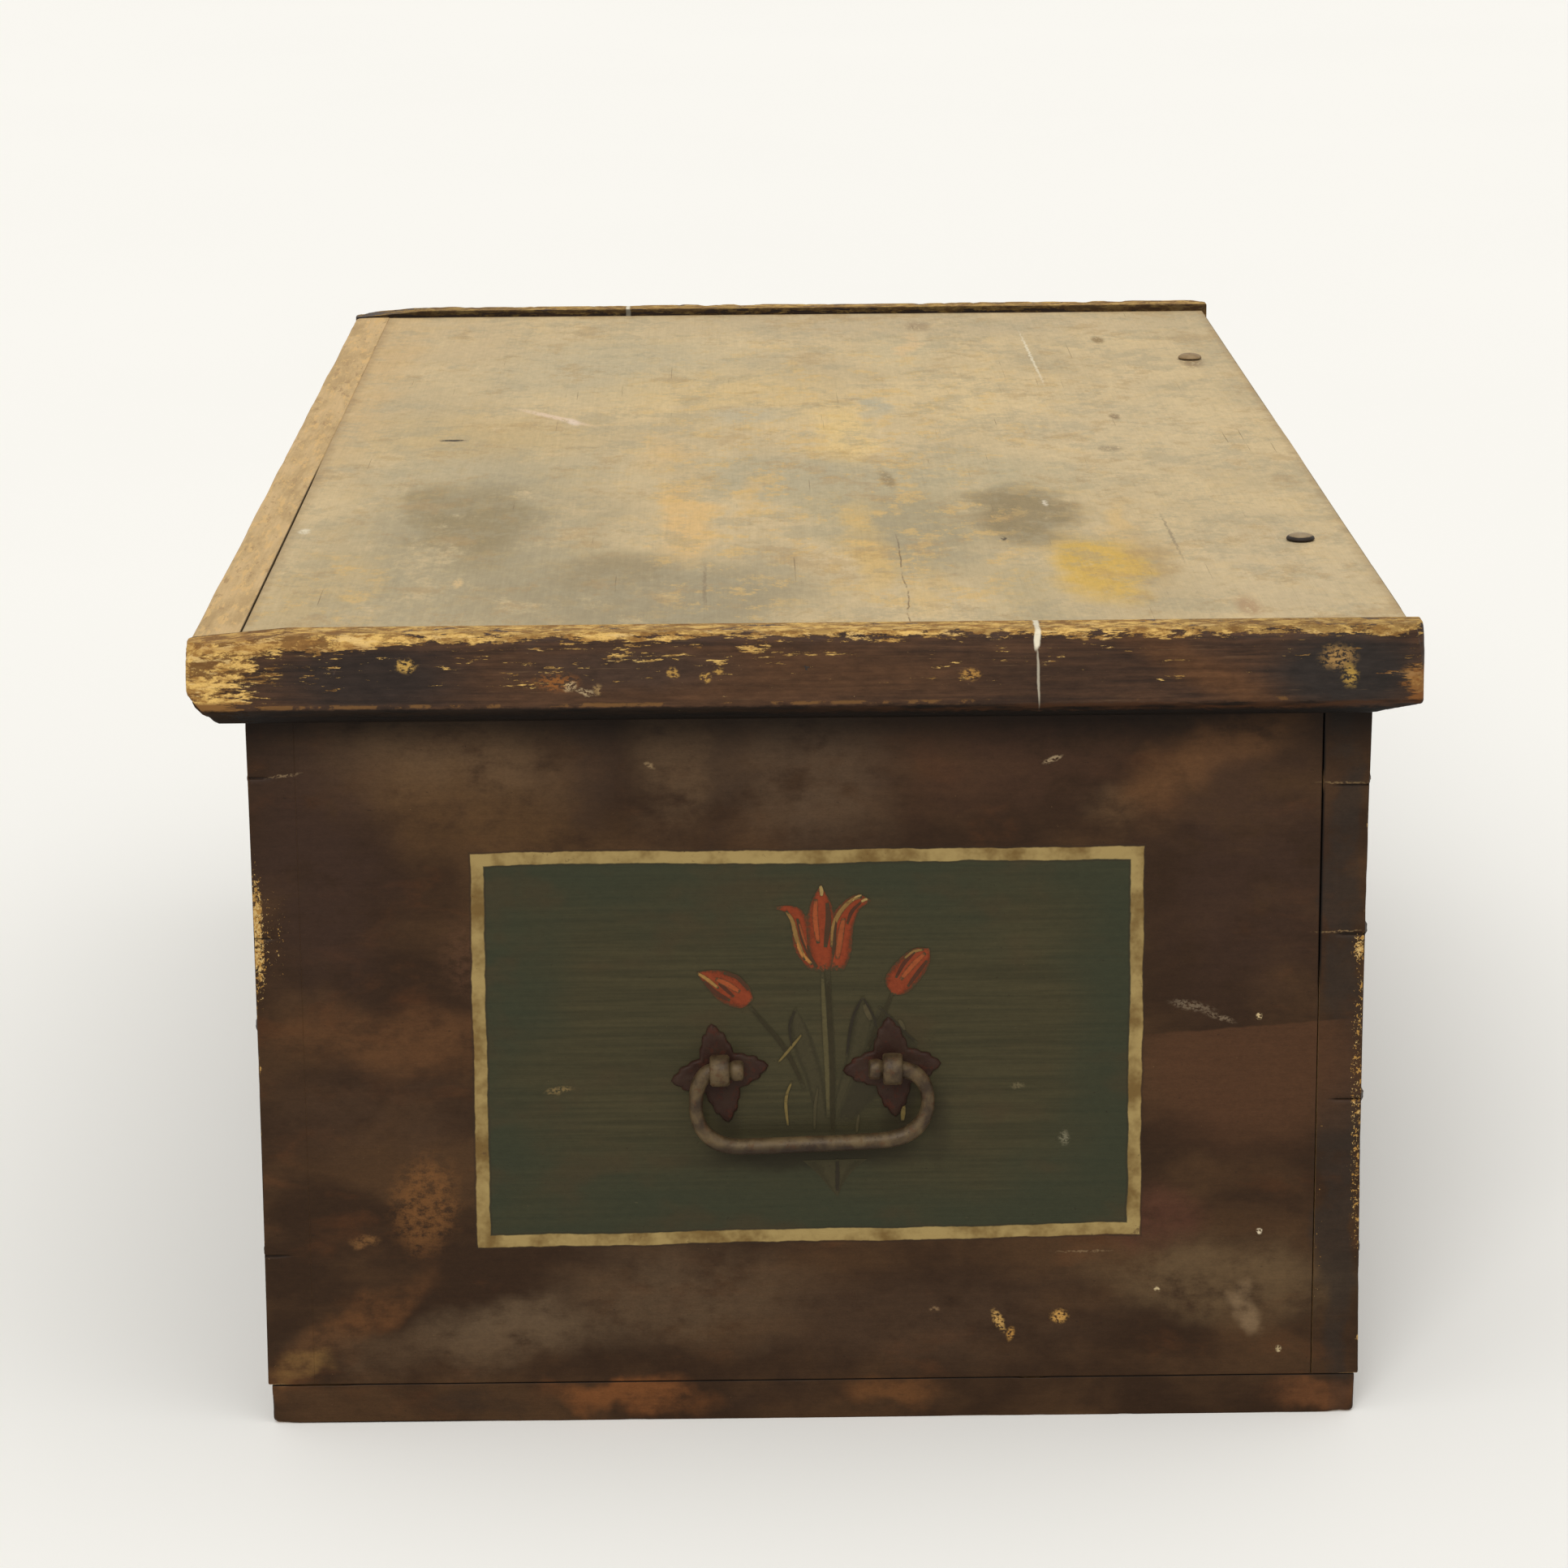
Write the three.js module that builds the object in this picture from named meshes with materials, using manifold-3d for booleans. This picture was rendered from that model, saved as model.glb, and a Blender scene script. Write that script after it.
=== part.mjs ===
// A nailed blanket chest: a board case on a crosswise bottom, a lid framed by a front batten
// and two end cleats, two iron strap hinges at the back and an iron bail handle on each end.
//
// Millimetres, +Z up. X runs along the chest, the front faces -Y and the back +Y.
// The origin is on the floor, under the middle of the lid.

import * as THREE from 'three';
import { mergeVertices } from 'three/addons/utils/BufferGeometryUtils.js';
import Module from 'manifold-3d';

const wasm = await Module();
wasm.setup();

// Fits
const JOINT_GAP = 0.3;          // between pieces that lie against each other
const NAIL_CLEARANCE = 0.3;     // round a nail or rivet in its hole
const CUT_OVERRUN = 5;          // how far a cutting tool runs past the face that it opens

// Case
const CASE_LENGTH = 1060;
const CASE_WIDTH = 560;
const WALL_HEIGHT = 372;
const WALL_THICKNESS = 24;
const BOTTOM_THICKNESS = 21;
const BOTTOM_INSET = 2;         // the bottom boards end this far inside the front and the back
const BOTTOM_BOARD_COUNT = 6;

// Lid
const LID_THICKNESS = 22;
const BACK_OVERHANG = 21;       // of the cleats, past the back board
const BACK_STEP = 3;            // the main board ends this far inside the cleats' back ends
const CLEAT_THICKNESS = 24;
const CLEAT_CLEARANCE = 6;      // between a cleat and the case's end
const CLEAT_RISE = 4.4;         // above the lid's surface
const CLEAT_DROP = 18.6;        // below the lid's underside
const CLEAT_ARRIS = 7;          // rounding of the outer top edge
const CLEAT_BEVEL = 8;          // under the outer face
const FRONT_CORNER_RUN = 14;    // the worn lower corner at a cleat's front end, along the cleat
const FRONT_CORNER_RISE = 17;
const BACK_CORNER_RUN = 25;     // the shallow slope under a cleat's back end
const BACK_CORNER_RISE = 6;
const BATTEN_WIDTH = 24;
const BATTEN_CLEARANCE = 1;     // between the batten and the front board
const BATTEN_ARRIS = 8;
const BATTEN_BEVEL = 6;

// Hinges
const HINGE_SPREAD = 630;       // between the middles of the two hinges
const STRAP_THICKNESS = 3;
const STRAP_WIDTH = 34;
const STRAP_TIP_WIDTH = 22;     // where the taper ends and the spear point begins
const LID_STRAP_LENGTH = 150;
const BACK_STRAP_LENGTH = 112;
const SPEAR_LENGTH = 22;
const PIN_RADIUS = 3;
const PIN_CLEARANCE = 0.35;
const PIN_HEAD_RADIUS = 4.6;
const PIN_HEAD_LENGTH = 2;
const BARREL_GAP = 0.5;         // between neighbouring knuckles, along the pin
const RIVET_RADIUS = 3.2;
const RIVET_HEAD_RADIUS = 8;
const RIVET_HEAD_HEIGHT = 3.4;

// Nails
const NAIL_RADIUS = 2;
const NAIL_HEAD_RADIUS = 5;
const NAIL_HEAD_HEIGHT = 1.8;
const NAIL_POINT_LENGTH = 7;
const CORNER_NAIL_LENGTH = 58;
const EDGE_NAIL_LENGTH = 52;    // through a cleat or the batten into the main board
const STRAP_NAIL_LENGTH = 19;
// Heights of the corner nails as shares of the wall's height: four at the back, three in front.
const BACK_NAIL_SHARES = [0.175, 0.395, 0.63, 0.84];
const FRONT_NAIL_SHARES = [0.185, 0.51, 0.855];
const CLEAT_NAIL_SHARES = [-0.38, 0, 0.38];     // of the cleat's length, from its middle
const BATTEN_NAIL_SHARES = [-0.3, 0.3];         // of the case's length, from its middle
const EDGE_NAIL_LEVEL_SHARE = 0.4;              // of the lid's thickness
const BACK_STRAP_NAIL_SHARES = [0.3, 0.68];     // of the strap's length, from the pin
const LID_STRAP_NAIL_SHARE = 0.68;

// Bail handles
const HANDLE_HEIGHT = 191;      // of the bail's axis above the floor
const HANDLE_FORWARD = 3;       // the handles sit this far in front of the middle of the case
const EYE_SPREAD = 87;
const EYE_WALL = 3.1;
const EYE_WIDTH = 10;
const SHANK_THICKNESS = 5;
const CLENCH_THICKNESS = 2.5;
const CLENCH_REACH = 15;        // of each bent-over leg, up or down from the shank's middle
const SLOT_CLEARANCE = 0.4;
const BAIL_RADIUS = 4.3;
const BAIL_CLEARANCE = 0.6;     // round the bail in its eyes
const BAIL_DROP = 39;           // from the axis to the middle of the grip
const SHOULDER_RADIUS = 9.5;    // of the bend outside the eye
const GRIP_CORNER_RADIUS = 18;
const BEAD_LIP = 1.1;           // how far the bead stands out round the bail
const BEAD_LENGTH = 6.5;
const BEAD_TAPER = 2;           // length of the bead's taper at each end
const BEAD_TAPER_SHARE = 0.7;   // what the taper leaves of the bead's radius
const BAIL_PLAY = 0.6;          // between an eye and the bead or bend beside it
const PLATE_THICKNESS = 2.2;
const PLATE_HALF_WIDTH = 25;
const PLATE_HALF_HEIGHT = 26.5;
const PLATE_DROP = 3.4;         // of a plate's middle below the shank that it hangs on
const LEAF_SWELL = 2.4;         // how far a leaf's side bows out from its straight line
const WAIST_SHARE = 0.4;        // the waist between two leaves, as a share of the half sizes

// Faceting
const NAIL_SIDES = 8;
const RIVET_SIDES = 16;
const BARREL_SIDES = 20;
const BAIL_SIDES = 12;
const BAIL_STEPS = 60;
const CURVE_SEGMENTS = 6;

// Levels and faces worked out from the sizes above
const WALL_BOTTOM = BOTTOM_THICKNESS + JOINT_GAP;
const WALL_TOP = WALL_BOTTOM + WALL_HEIGHT;
const LID_BOTTOM = WALL_TOP + JOINT_GAP;
const LID_TOP = LID_BOTTOM + LID_THICKNESS;
const CLEAT_TOP = LID_TOP + CLEAT_RISE;
const CLEAT_BOTTOM = LID_BOTTOM - CLEAT_DROP;
const CASE_END = CASE_LENGTH / 2;
const CASE_BACK = CASE_WIDTH / 2;
const CASE_FRONT = -CASE_BACK;
const CLEAT_INNER = CASE_END + CLEAT_CLEARANCE;
const CLEAT_OUTER = CLEAT_INNER + CLEAT_THICKNESS;
const BATTEN_INNER = CASE_FRONT - BATTEN_CLEARANCE;
const LID_FRONT = BATTEN_INNER - BATTEN_WIDTH;
const CLEAT_BACK = CASE_BACK + BACK_OVERHANG;
const LID_BACK = CLEAT_BACK - BACK_STEP;
const KNUCKLE_RADIUS = PIN_RADIUS + PIN_CLEARANCE + STRAP_THICKNESS;
const PIN_Y = CASE_BACK + JOINT_GAP + KNUCKLE_RADIUS;
const PIN_Z = LID_BOTTOM - JOINT_GAP - KNUCKLE_RADIUS;
const KNUCKLE_LENGTH = (STRAP_WIDTH - 2 * BARREL_GAP) / 3;
const RIVET_LENGTH = LID_THICKNESS + JOINT_GAP + STRAP_THICKNESS;
const EDGE_NAIL_LEVEL = LID_BOTTOM + EDGE_NAIL_LEVEL_SHARE * LID_THICKNESS;
const EYE_BORE_RADIUS = BAIL_RADIUS + BAIL_CLEARANCE;
const EYE_RADIUS = EYE_BORE_RADIUS + EYE_WALL;
const EYE_STANDOFF = JOINT_GAP + PLATE_THICKNESS + JOINT_GAP + EYE_RADIUS;
const BEAD_RADIUS = BAIL_RADIUS + BEAD_LIP;
const BEAD_Y = (EYE_SPREAD - EYE_WIDTH - BEAD_LENGTH) / 2 - BAIL_PLAY;

// Finishes of bare and painted wood and of the old iron
const FINISHES = {
  casePaint: { color: '#3d2a20', roughness: 0.6, metalness: 0 },
  endPaint: { color: '#41301f', roughness: 0.6, metalness: 0 },
  cleatPaint: { color: '#4b3c2e', roughness: 0.6, metalness: 0 },
  bottomWood: { color: '#4a3829', roughness: 0.8, metalness: 0 },
  lidWood: { color: '#b9a37c', roughness: 0.75, metalness: 0 },
  battenWood: { color: '#bb9a63', roughness: 0.7, metalness: 0 },
  hingeIron: { color: '#3b2f2b', roughness: 0.6, metalness: 0.6 },
  plateIron: { color: '#3d2b26', roughness: 0.65, metalness: 0.6 },
  bailIron: { color: '#6a5443', roughness: 0.5, metalness: 0.6 },
  nailIron: { color: '#33302c', roughness: 0.7, metalness: 0.6 },
};

// Solids: closed geometries in, closed geometries out

function solidOf(geometry) {
  const bare = geometry.clone();
  bare.deleteAttribute('normal');
  bare.deleteAttribute('uv');
  const merged = mergeVertices(bare);
  return new wasm.Manifold(new wasm.Mesh({
    numProp: 3,
    vertProperties: new Float32Array(merged.attributes.position.array),
    triVerts: new Uint32Array(merged.index.array),
  }));
}

function geometryOf(solid) {
  const { vertProperties, triVerts, numProp } = solid.getMesh();
  const indexed = new THREE.BufferGeometry();
  indexed.setAttribute('position', new THREE.BufferAttribute(new Float32Array(vertProperties), numProp));
  indexed.setIndex(new THREE.BufferAttribute(new Uint32Array(triVerts), 1));
  const geometry = indexed.toNonIndexed();
  geometry.computeVertexNormals();
  return geometry;
}

function cut(geometry, tools) {
  return geometryOf(tools.reduce((solid, tool) => solid.subtract(solidOf(tool)), solidOf(geometry)));
}

function join(geometries) {
  const [first, ...rest] = geometries.map(solidOf);
  return geometryOf(rest.reduce((solid, other) => solid.add(other), first));
}

// A block between two corners
function block(low, high) {
  const size = new THREE.Vector3().subVectors(high, low);
  const middle = new THREE.Vector3().addVectors(low, high).multiplyScalar(0.5);
  return new THREE.BoxGeometry(size.x, size.y, size.z).translate(middle.x, middle.y, middle.z);
}

const at = (x, y, z) => new THREE.Vector3(x, y, z);
const ordered = (a, b) => [Math.min(a, b), Math.max(a, b)];

// Prisms: an outline drawn in two of the axes and drawn out along the third

function prismAlongX(outline, from, to) {
  const turn = new THREE.Matrix4().makeBasis(at(0, 1, 0), at(0, 0, 1), at(1, 0, 0));
  return extruded(outline, to - from).applyMatrix4(turn).translate(from, 0, 0);
}

function prismAlongY(outline, from, to) {
  return extruded(outline, to - from).rotateX(Math.PI / 2).translate(0, to, 0);
}

function prismAlongZ(outline, from, to) {
  return extruded(outline, to - from).translate(0, 0, from);
}

function extruded(outline, depth) {
  return new THREE.ExtrudeGeometry(outline, { depth, bevelEnabled: false, curveSegments: CURVE_SEGMENTS });
}

function polygon(points) {
  return new THREE.Shape(points.map(([u, v]) => new THREE.Vector2(u, v)));
}

// A piece's mesh, with its own origin at the given point of the group that it is added to
function piece(name, geometry, finish, origin = at(0, 0, 0)) {
  const moved = geometry.clone().translate(-origin.x, -origin.y, -origin.z);
  const mesh = new THREE.Mesh(moved, new THREE.MeshStandardMaterial(FINISHES[finish]));
  mesh.name = name;
  mesh.position.copy(origin);
  return mesh;
}

// Nails. A nail is a place on the surface, a direction into the wood and a length.

const pointing = (direction) => new THREE.Quaternion().setFromUnitVectors(at(0, 0, -1), direction);

// Head up, point down, with the underside of the head at the origin
function nailGeometry(length) {
  const rim = NAIL_HEAD_HEIGHT / 3;
  const profile = [
    [0, -length],
    [NAIL_RADIUS, NAIL_POINT_LENGTH - length],
    [NAIL_RADIUS, 0],
    [NAIL_HEAD_RADIUS, 0],
    [NAIL_HEAD_RADIUS, rim],
    [0, NAIL_HEAD_HEIGHT],
  ].map(([r, z]) => new THREE.Vector2(r, z));
  return new THREE.LatheGeometry(profile, NAIL_SIDES).rotateX(Math.PI / 2);
}

function nail(name, spot) {
  const mesh = piece(name, nailGeometry(spot.length), 'nailIron');
  mesh.position.copy(spot.place).addScaledVector(spot.direction, -JOINT_GAP);
  mesh.quaternion.copy(pointing(spot.direction));
  return mesh;
}

// The radius of a faceted bore whose flats stand at the given distance from its axis
const roundBore = (radius, sides) => radius / Math.cos(Math.PI / sides);

// A drill from well outside the place to the given depth below it
function drill(place, direction, depth, radius) {
  const reach = depth + CUT_OVERRUN;
  const wide = roundBore(radius, NAIL_SIDES);
  const bit = new THREE.CylinderGeometry(wide, wide, reach, NAIL_SIDES).rotateX(Math.PI / 2);
  bit.translate(0, 0, CUT_OVERRUN - reach / 2);
  return bit.applyQuaternion(pointing(direction)).translate(place.x, place.y, place.z);
}

function holeOf({ place, direction, length }) {
  return drill(place, direction, length + JOINT_GAP, NAIL_RADIUS + NAIL_CLEARANCE);
}

// A flat-bottomed seat that lets a nail's head lie flush
const headSeat = (spot) => drill(spot.place, spot.direction, 0, NAIL_HEAD_RADIUS + NAIL_CLEARANCE);

// Where the nails go

const ENDS = { right: 1, left: -1 };
const WALLS = { back: 1, front: -1 };
const END_NAMES = Object.keys(ENDS);
const WALL_NAMES = Object.keys(WALLS);
const hingeX = (end) => ENDS[end] * HINGE_SPREAD / 2;

function cornerNailSpots(wall, end) {
  const shares = wall === 'back' ? BACK_NAIL_SHARES : FRONT_NAIL_SHARES;
  const out = WALLS[wall];
  const x = ENDS[end] * (CASE_END - WALL_THICKNESS / 2);
  return shares.map((share) => ({
    place: at(x, out * CASE_BACK, WALL_BOTTOM + share * WALL_HEIGHT),
    direction: at(0, -out, 0),
    length: CORNER_NAIL_LENGTH,
  }));
}

// The heads in the cleats and the batten lie flush, so the place is the bottom of the head's seat.
const SEAT_DEPTH = NAIL_HEAD_HEIGHT + JOINT_GAP;

function cleatNailSpots(end) {
  const middle = (CLEAT_BACK + LID_FRONT) / 2;
  const length = CLEAT_BACK - LID_FRONT;
  return CLEAT_NAIL_SHARES.map((share) => ({
    place: at(ENDS[end] * (CLEAT_OUTER - SEAT_DEPTH), middle + share * length, EDGE_NAIL_LEVEL),
    direction: at(-ENDS[end], 0, 0),
    length: EDGE_NAIL_LENGTH,
  }));
}

function battenNailSpots() {
  return BATTEN_NAIL_SHARES.map((share) => ({
    place: at(share * CASE_LENGTH, LID_FRONT + SEAT_DEPTH, EDGE_NAIL_LEVEL),
    direction: at(0, 1, 0),
    length: EDGE_NAIL_LENGTH,
  }));
}

// On the outside of the back strap
function backStrapNailSpots(end) {
  return BACK_STRAP_NAIL_SHARES.map((share) => ({
    place: at(
      hingeX(end),
      CASE_BACK + JOINT_GAP + STRAP_THICKNESS,
      PIN_Z - share * BACK_STRAP_LENGTH,
    ),
    direction: at(0, -1, 0),
    length: STRAP_NAIL_LENGTH,
  }));
}

// Under the lid strap, driven up into the lid
function lidStrapNailSpot(end) {
  return {
    place: at(
      hingeX(end),
      PIN_Y - LID_STRAP_NAIL_SHARE * LID_STRAP_LENGTH,
      LID_BOTTOM - JOINT_GAP - STRAP_THICKNESS,
    ),
    direction: at(0, 0, 1),
    length: STRAP_NAIL_LENGTH,
  };
}

// The rivet stands over the middle of the back board, with its head on the lid
const rivetPlace = (end) => at(hingeX(end), CASE_BACK - WALL_THICKNESS / 2, LID_TOP);

function rivetHole(end) {
  return drill(rivetPlace(end), at(0, 0, -1), RIVET_LENGTH + CUT_OVERRUN, RIVET_RADIUS + NAIL_CLEARANCE);
}

// Case

function longBoard(wall) {
  const out = WALLS[wall];
  const [near, far] = ordered(out * CASE_BACK, out * (CASE_BACK - WALL_THICKNESS));
  const board = block(at(-CASE_END, near, WALL_BOTTOM), at(CASE_END, far, WALL_TOP));
  const tools = END_NAMES.flatMap((end) => cornerNailSpots(wall, end).map(holeOf));
  if (wall === 'back') {
    tools.push(...END_NAMES.flatMap((end) => backStrapNailSpots(end).map(holeOf)));
    tools.push(...END_NAMES.map(strapNotch));
  }
  const origin = at(0, out * (CASE_BACK - WALL_THICKNESS / 2), WALL_BOTTOM);
  return piece(`${wall}_board`, cut(board, tools), 'casePaint', origin);
}

// The shallow notch in the back board's top edge that lets the lid strap through
function strapNotch(end) {
  const middle = hingeX(end);
  const half = STRAP_WIDTH / 2 + SLOT_CLEARANCE;
  const floor = LID_BOTTOM - JOINT_GAP - STRAP_THICKNESS - JOINT_GAP;
  const inner = CASE_BACK - WALL_THICKNESS - CUT_OVERRUN;
  const outer = CASE_BACK + CUT_OVERRUN;
  return block(at(middle - half, inner, floor), at(middle + half, outer, WALL_TOP + CUT_OVERRUN));
}

function endBoard(end) {
  const side = ENDS[end];
  const [near, far] = ordered(side * CASE_END, side * (CASE_END - WALL_THICKNESS));
  const reach = CASE_BACK - WALL_THICKNESS - JOINT_GAP;
  const board = block(at(near, -reach, WALL_BOTTOM), at(far, reach, WALL_TOP));
  const tools = WALL_NAMES.flatMap((wall) => cornerNailSpots(wall, end).map(holeOf));
  const slots = WALL_NAMES.map((wall) => shankSlot(eyeY(wall)));
  tools.push(...slots.map((slot) => slot.translate(side * CASE_END, -HANDLE_FORWARD, HANDLE_HEIGHT)));
  const origin = at(side * (CASE_END - WALL_THICKNESS / 2), 0, WALL_BOTTOM);
  return piece(`end_board_${end}`, cut(board, tools), 'endPaint', origin);
}

function bottomBoards() {
  const pitch = (CASE_LENGTH + JOINT_GAP) / BOTTOM_BOARD_COUNT;
  const half = CASE_BACK - BOTTOM_INSET;
  return Array.from({ length: BOTTOM_BOARD_COUNT }, (_, index) => {
    const start = -CASE_END + index * pitch;
    const end = start + pitch - JOINT_GAP;
    const board = block(at(start, -half, 0), at(end, half, BOTTOM_THICKNESS));
    const origin = at((start + end) / 2, 0, 0);
    return piece(`bottom_board_${index + 1}`, board, 'bottomWood', origin);
  });
}

// Lid

function mainBoard() {
  const end = CLEAT_INNER - JOINT_GAP;
  const board = block(at(-end, BATTEN_INNER + JOINT_GAP, LID_BOTTOM), at(end, LID_BACK, LID_TOP));
  const tools = END_NAMES.flatMap((side) => [
    rivetHole(side),
    holeOf(lidStrapNailSpot(side)),
    ...cleatNailSpots(side).map(holeOf),
  ]);
  tools.push(...battenNailSpots().map(holeOf));
  return piece('lid_main_board', cut(board, tools), 'lidWood', at(0, 0, LID_BOTTOM));
}

// The front batten is flush with the lid's surface and hangs down in front of the case.
function frontBatten() {
  const section = new THREE.Shape();
  section.moveTo(BATTEN_INNER, CLEAT_BOTTOM);
  section.lineTo(BATTEN_INNER, LID_TOP);
  section.lineTo(LID_FRONT + BATTEN_ARRIS, LID_TOP);
  const [arrisY, arrisZ] = [LID_FRONT + BATTEN_ARRIS, LID_TOP - BATTEN_ARRIS];
  section.absarc(arrisY, arrisZ, BATTEN_ARRIS, Math.PI / 2, Math.PI, false);
  section.lineTo(LID_FRONT, CLEAT_BOTTOM + BATTEN_BEVEL);
  section.lineTo(LID_FRONT + BATTEN_BEVEL, CLEAT_BOTTOM);
  const end = CLEAT_INNER - JOINT_GAP;
  const spots = battenNailSpots();
  const bar = cut(prismAlongX(section, -end, end), [...spots.map(holeOf), ...spots.map(headSeat)]);
  return piece('lid_front_batten', bar, 'battenWood', at(0, LID_FRONT, LID_BOTTOM));
}

function cleat(end) {
  const side = ENDS[end];
  const section = new THREE.Shape();
  section.moveTo(CLEAT_INNER, CLEAT_BOTTOM);
  section.lineTo(CLEAT_OUTER - CLEAT_BEVEL, CLEAT_BOTTOM);
  section.lineTo(CLEAT_OUTER, CLEAT_BOTTOM + CLEAT_BEVEL);
  section.lineTo(CLEAT_OUTER, CLEAT_TOP - CLEAT_ARRIS);
  section.absarc(CLEAT_OUTER - CLEAT_ARRIS, CLEAT_TOP - CLEAT_ARRIS, CLEAT_ARRIS, 0, Math.PI / 2, false);
  section.lineTo(CLEAT_INNER, CLEAT_TOP);
  const outline = polygon(section.getPoints(CURVE_SEGMENTS).map(({ x, y }) => [side * x, y]));
  const bar = prismAlongY(outline, LID_FRONT, CLEAT_BACK);
  const spots = cleatNailSpots(end);
  const tools = [
    lostCorner(side, LID_FRONT, FRONT_CORNER_RUN, FRONT_CORNER_RISE),
    lostCorner(side, CLEAT_BACK, -BACK_CORNER_RUN, BACK_CORNER_RISE),
    ...spots.map(holeOf),
    ...spots.map(headSeat),
  ];
  const origin = at(side * CLEAT_INNER, 0, LID_BOTTOM);
  return piece(`lid_cleat_${end}`, cut(bar, tools), 'cleatPaint', origin);
}

// The wedge that a cleat's lower end corner has lost. Its slope runs on past both faces.
function lostCorner(side, endY, run, rise) {
  const pastShare = 0.5;
  const along = (share) => endY + share * run;
  const up = (share) => CLEAT_BOTTOM + share * rise;
  const outline = polygon([
    [along(1 + pastShare), up(-pastShare)],
    [along(-pastShare), up(-pastShare)],
    [along(-pastShare), up(1 + pastShare)],
  ]);
  const [from, to] = ordered(side * (CLEAT_INNER - CUT_OVERRUN), side * (CLEAT_OUTER + CUT_OVERRUN));
  return prismAlongX(outline, from, to);
}

// Hinges. Each strap is a flat leaf rolled round the pin: the lid's has the two outer knuckles,
// the case's the middle one. The pin lies behind the case, under the lid's back edge.

const hingeOrigin = (end) => at(hingeX(end), PIN_Y, PIN_Z);

// A leaf's outline: it tapers from the barrel and ends in a blunt spear point.
function leafOutline(length) {
  const half = STRAP_WIDTH / 2;
  const tip = STRAP_TIP_WIDTH / 2;
  const shoulder = length - SPEAR_LENGTH;
  const outline = new THREE.Shape();
  outline.moveTo(half, 0);
  outline.lineTo(-half, 0);
  outline.lineTo(-tip, -shoulder);
  outline.quadraticCurveTo(-tip, -(shoulder + length) / 2, 0, -length);
  outline.quadraticCurveTo(tip, -(shoulder + length) / 2, tip, -shoulder);
  return outline;
}

function barrel(radius, from, to) {
  const rolled = new THREE.CylinderGeometry(radius, radius, to - from, BARREL_SIDES);
  return rolled.rotateZ(Math.PI / 2).translate((from + to) / 2, 0, 0);
}

function boreTool() {
  const radius = roundBore(PIN_RADIUS + PIN_CLEARANCE, BARREL_SIDES);
  return barrel(radius, -STRAP_WIDTH, STRAP_WIDTH);
}

function lidStrap(end) {
  const half = STRAP_WIDTH / 2;
  const clear = KNUCKLE_RADIUS + BARREL_GAP;
  const middle = KNUCKLE_LENGTH / 2 + BARREL_GAP;
  const rolled = join([
    prismAlongZ(leafOutline(LID_STRAP_LENGTH), KNUCKLE_RADIUS - STRAP_THICKNESS, KNUCKLE_RADIUS),
    barrel(KNUCKLE_RADIUS, -half, half),
  ]);
  const leaf = cut(rolled, [
    boreTool(),
    block(at(-middle, -clear, -clear), at(middle, clear, clear)),
  ]);
  const { x, y, z } = hingeOrigin(end);
  const inPlace = leaf.translate(x, y, z);
  const drilled = cut(inPlace, [rivetHole(end), holeOf(lidStrapNailSpot(end))]);
  return piece(`hinge_lid_strap_${end}`, drilled, 'hingeIron', hingeOrigin(end));
}

function backStrap(end) {
  const half = STRAP_WIDTH / 2;
  const clear = KNUCKLE_RADIUS + BARREL_GAP;
  const middle = KNUCKLE_LENGTH / 2;
  const rolled = join([
    prismAlongY(leafOutline(BACK_STRAP_LENGTH), -KNUCKLE_RADIUS, STRAP_THICKNESS - KNUCKLE_RADIUS),
    barrel(KNUCKLE_RADIUS, -half, half),
  ]);
  const leaf = cut(rolled, [
    boreTool(),
    block(at(middle, -clear, -clear), at(half + clear, clear, clear)),
    block(at(-half - clear, -clear, -clear), at(-middle, clear, clear)),
  ]);
  const { x, y, z } = hingeOrigin(end);
  const inPlace = leaf.translate(x, y, z);
  const drilled = cut(inPlace, backStrapNailSpots(end).map(holeOf));
  return piece(`hinge_back_strap_${end}`, drilled, 'hingeIron', hingeOrigin(end));
}

// The pin has a peened head at each end of the barrel.
function hingePin(end) {
  const half = STRAP_WIDTH / 2 + BARREL_GAP;
  const tip = half + PIN_HEAD_LENGTH;
  const profile = [
    [0, -tip],
    [PIN_HEAD_RADIUS, -tip],
    [PIN_HEAD_RADIUS, -half],
    [PIN_RADIUS, -half],
    [PIN_RADIUS, half],
    [PIN_HEAD_RADIUS, half],
    [PIN_HEAD_RADIUS, tip],
    [0, tip],
  ].map(([r, x]) => new THREE.Vector2(r, x));
  const pin = new THREE.LatheGeometry(profile, BARREL_SIDES).rotateZ(Math.PI / 2);
  const mesh = piece(`hinge_pin_${end}`, pin, 'hingeIron');
  mesh.position.copy(hingeOrigin(end));
  return mesh;
}

// A domed head on the lid, and a shank peened flush under the strap
function rivet(end) {
  const dome = Array.from({ length: CURVE_SEGMENTS }, (_, index) => {
    const angle = (index / CURVE_SEGMENTS) * Math.PI / 2;
    return [RIVET_HEAD_RADIUS * Math.cos(angle), JOINT_GAP + RIVET_HEAD_HEIGHT * Math.sin(angle)];
  });
  const profile = [
    [0, -RIVET_LENGTH],
    [RIVET_RADIUS, -RIVET_LENGTH],
    [RIVET_RADIUS, JOINT_GAP],
    ...dome,
    [0, JOINT_GAP + RIVET_HEAD_HEIGHT],
  ].map(([r, z]) => new THREE.Vector2(r, z));
  const body = new THREE.LatheGeometry(profile, RIVET_SIDES).rotateX(Math.PI / 2);
  const mesh = piece(`hinge_rivet_${end}`, body, 'nailIron');
  mesh.position.copy(rivetPlace(end));
  return mesh;
}

// Bail handles, each in a frame of its own: the origin on the end board's face at the height of
// the bail's axis, +X out of the board

const eyeY = (wall) => WALLS[wall] * EYE_SPREAD / 2;

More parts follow.
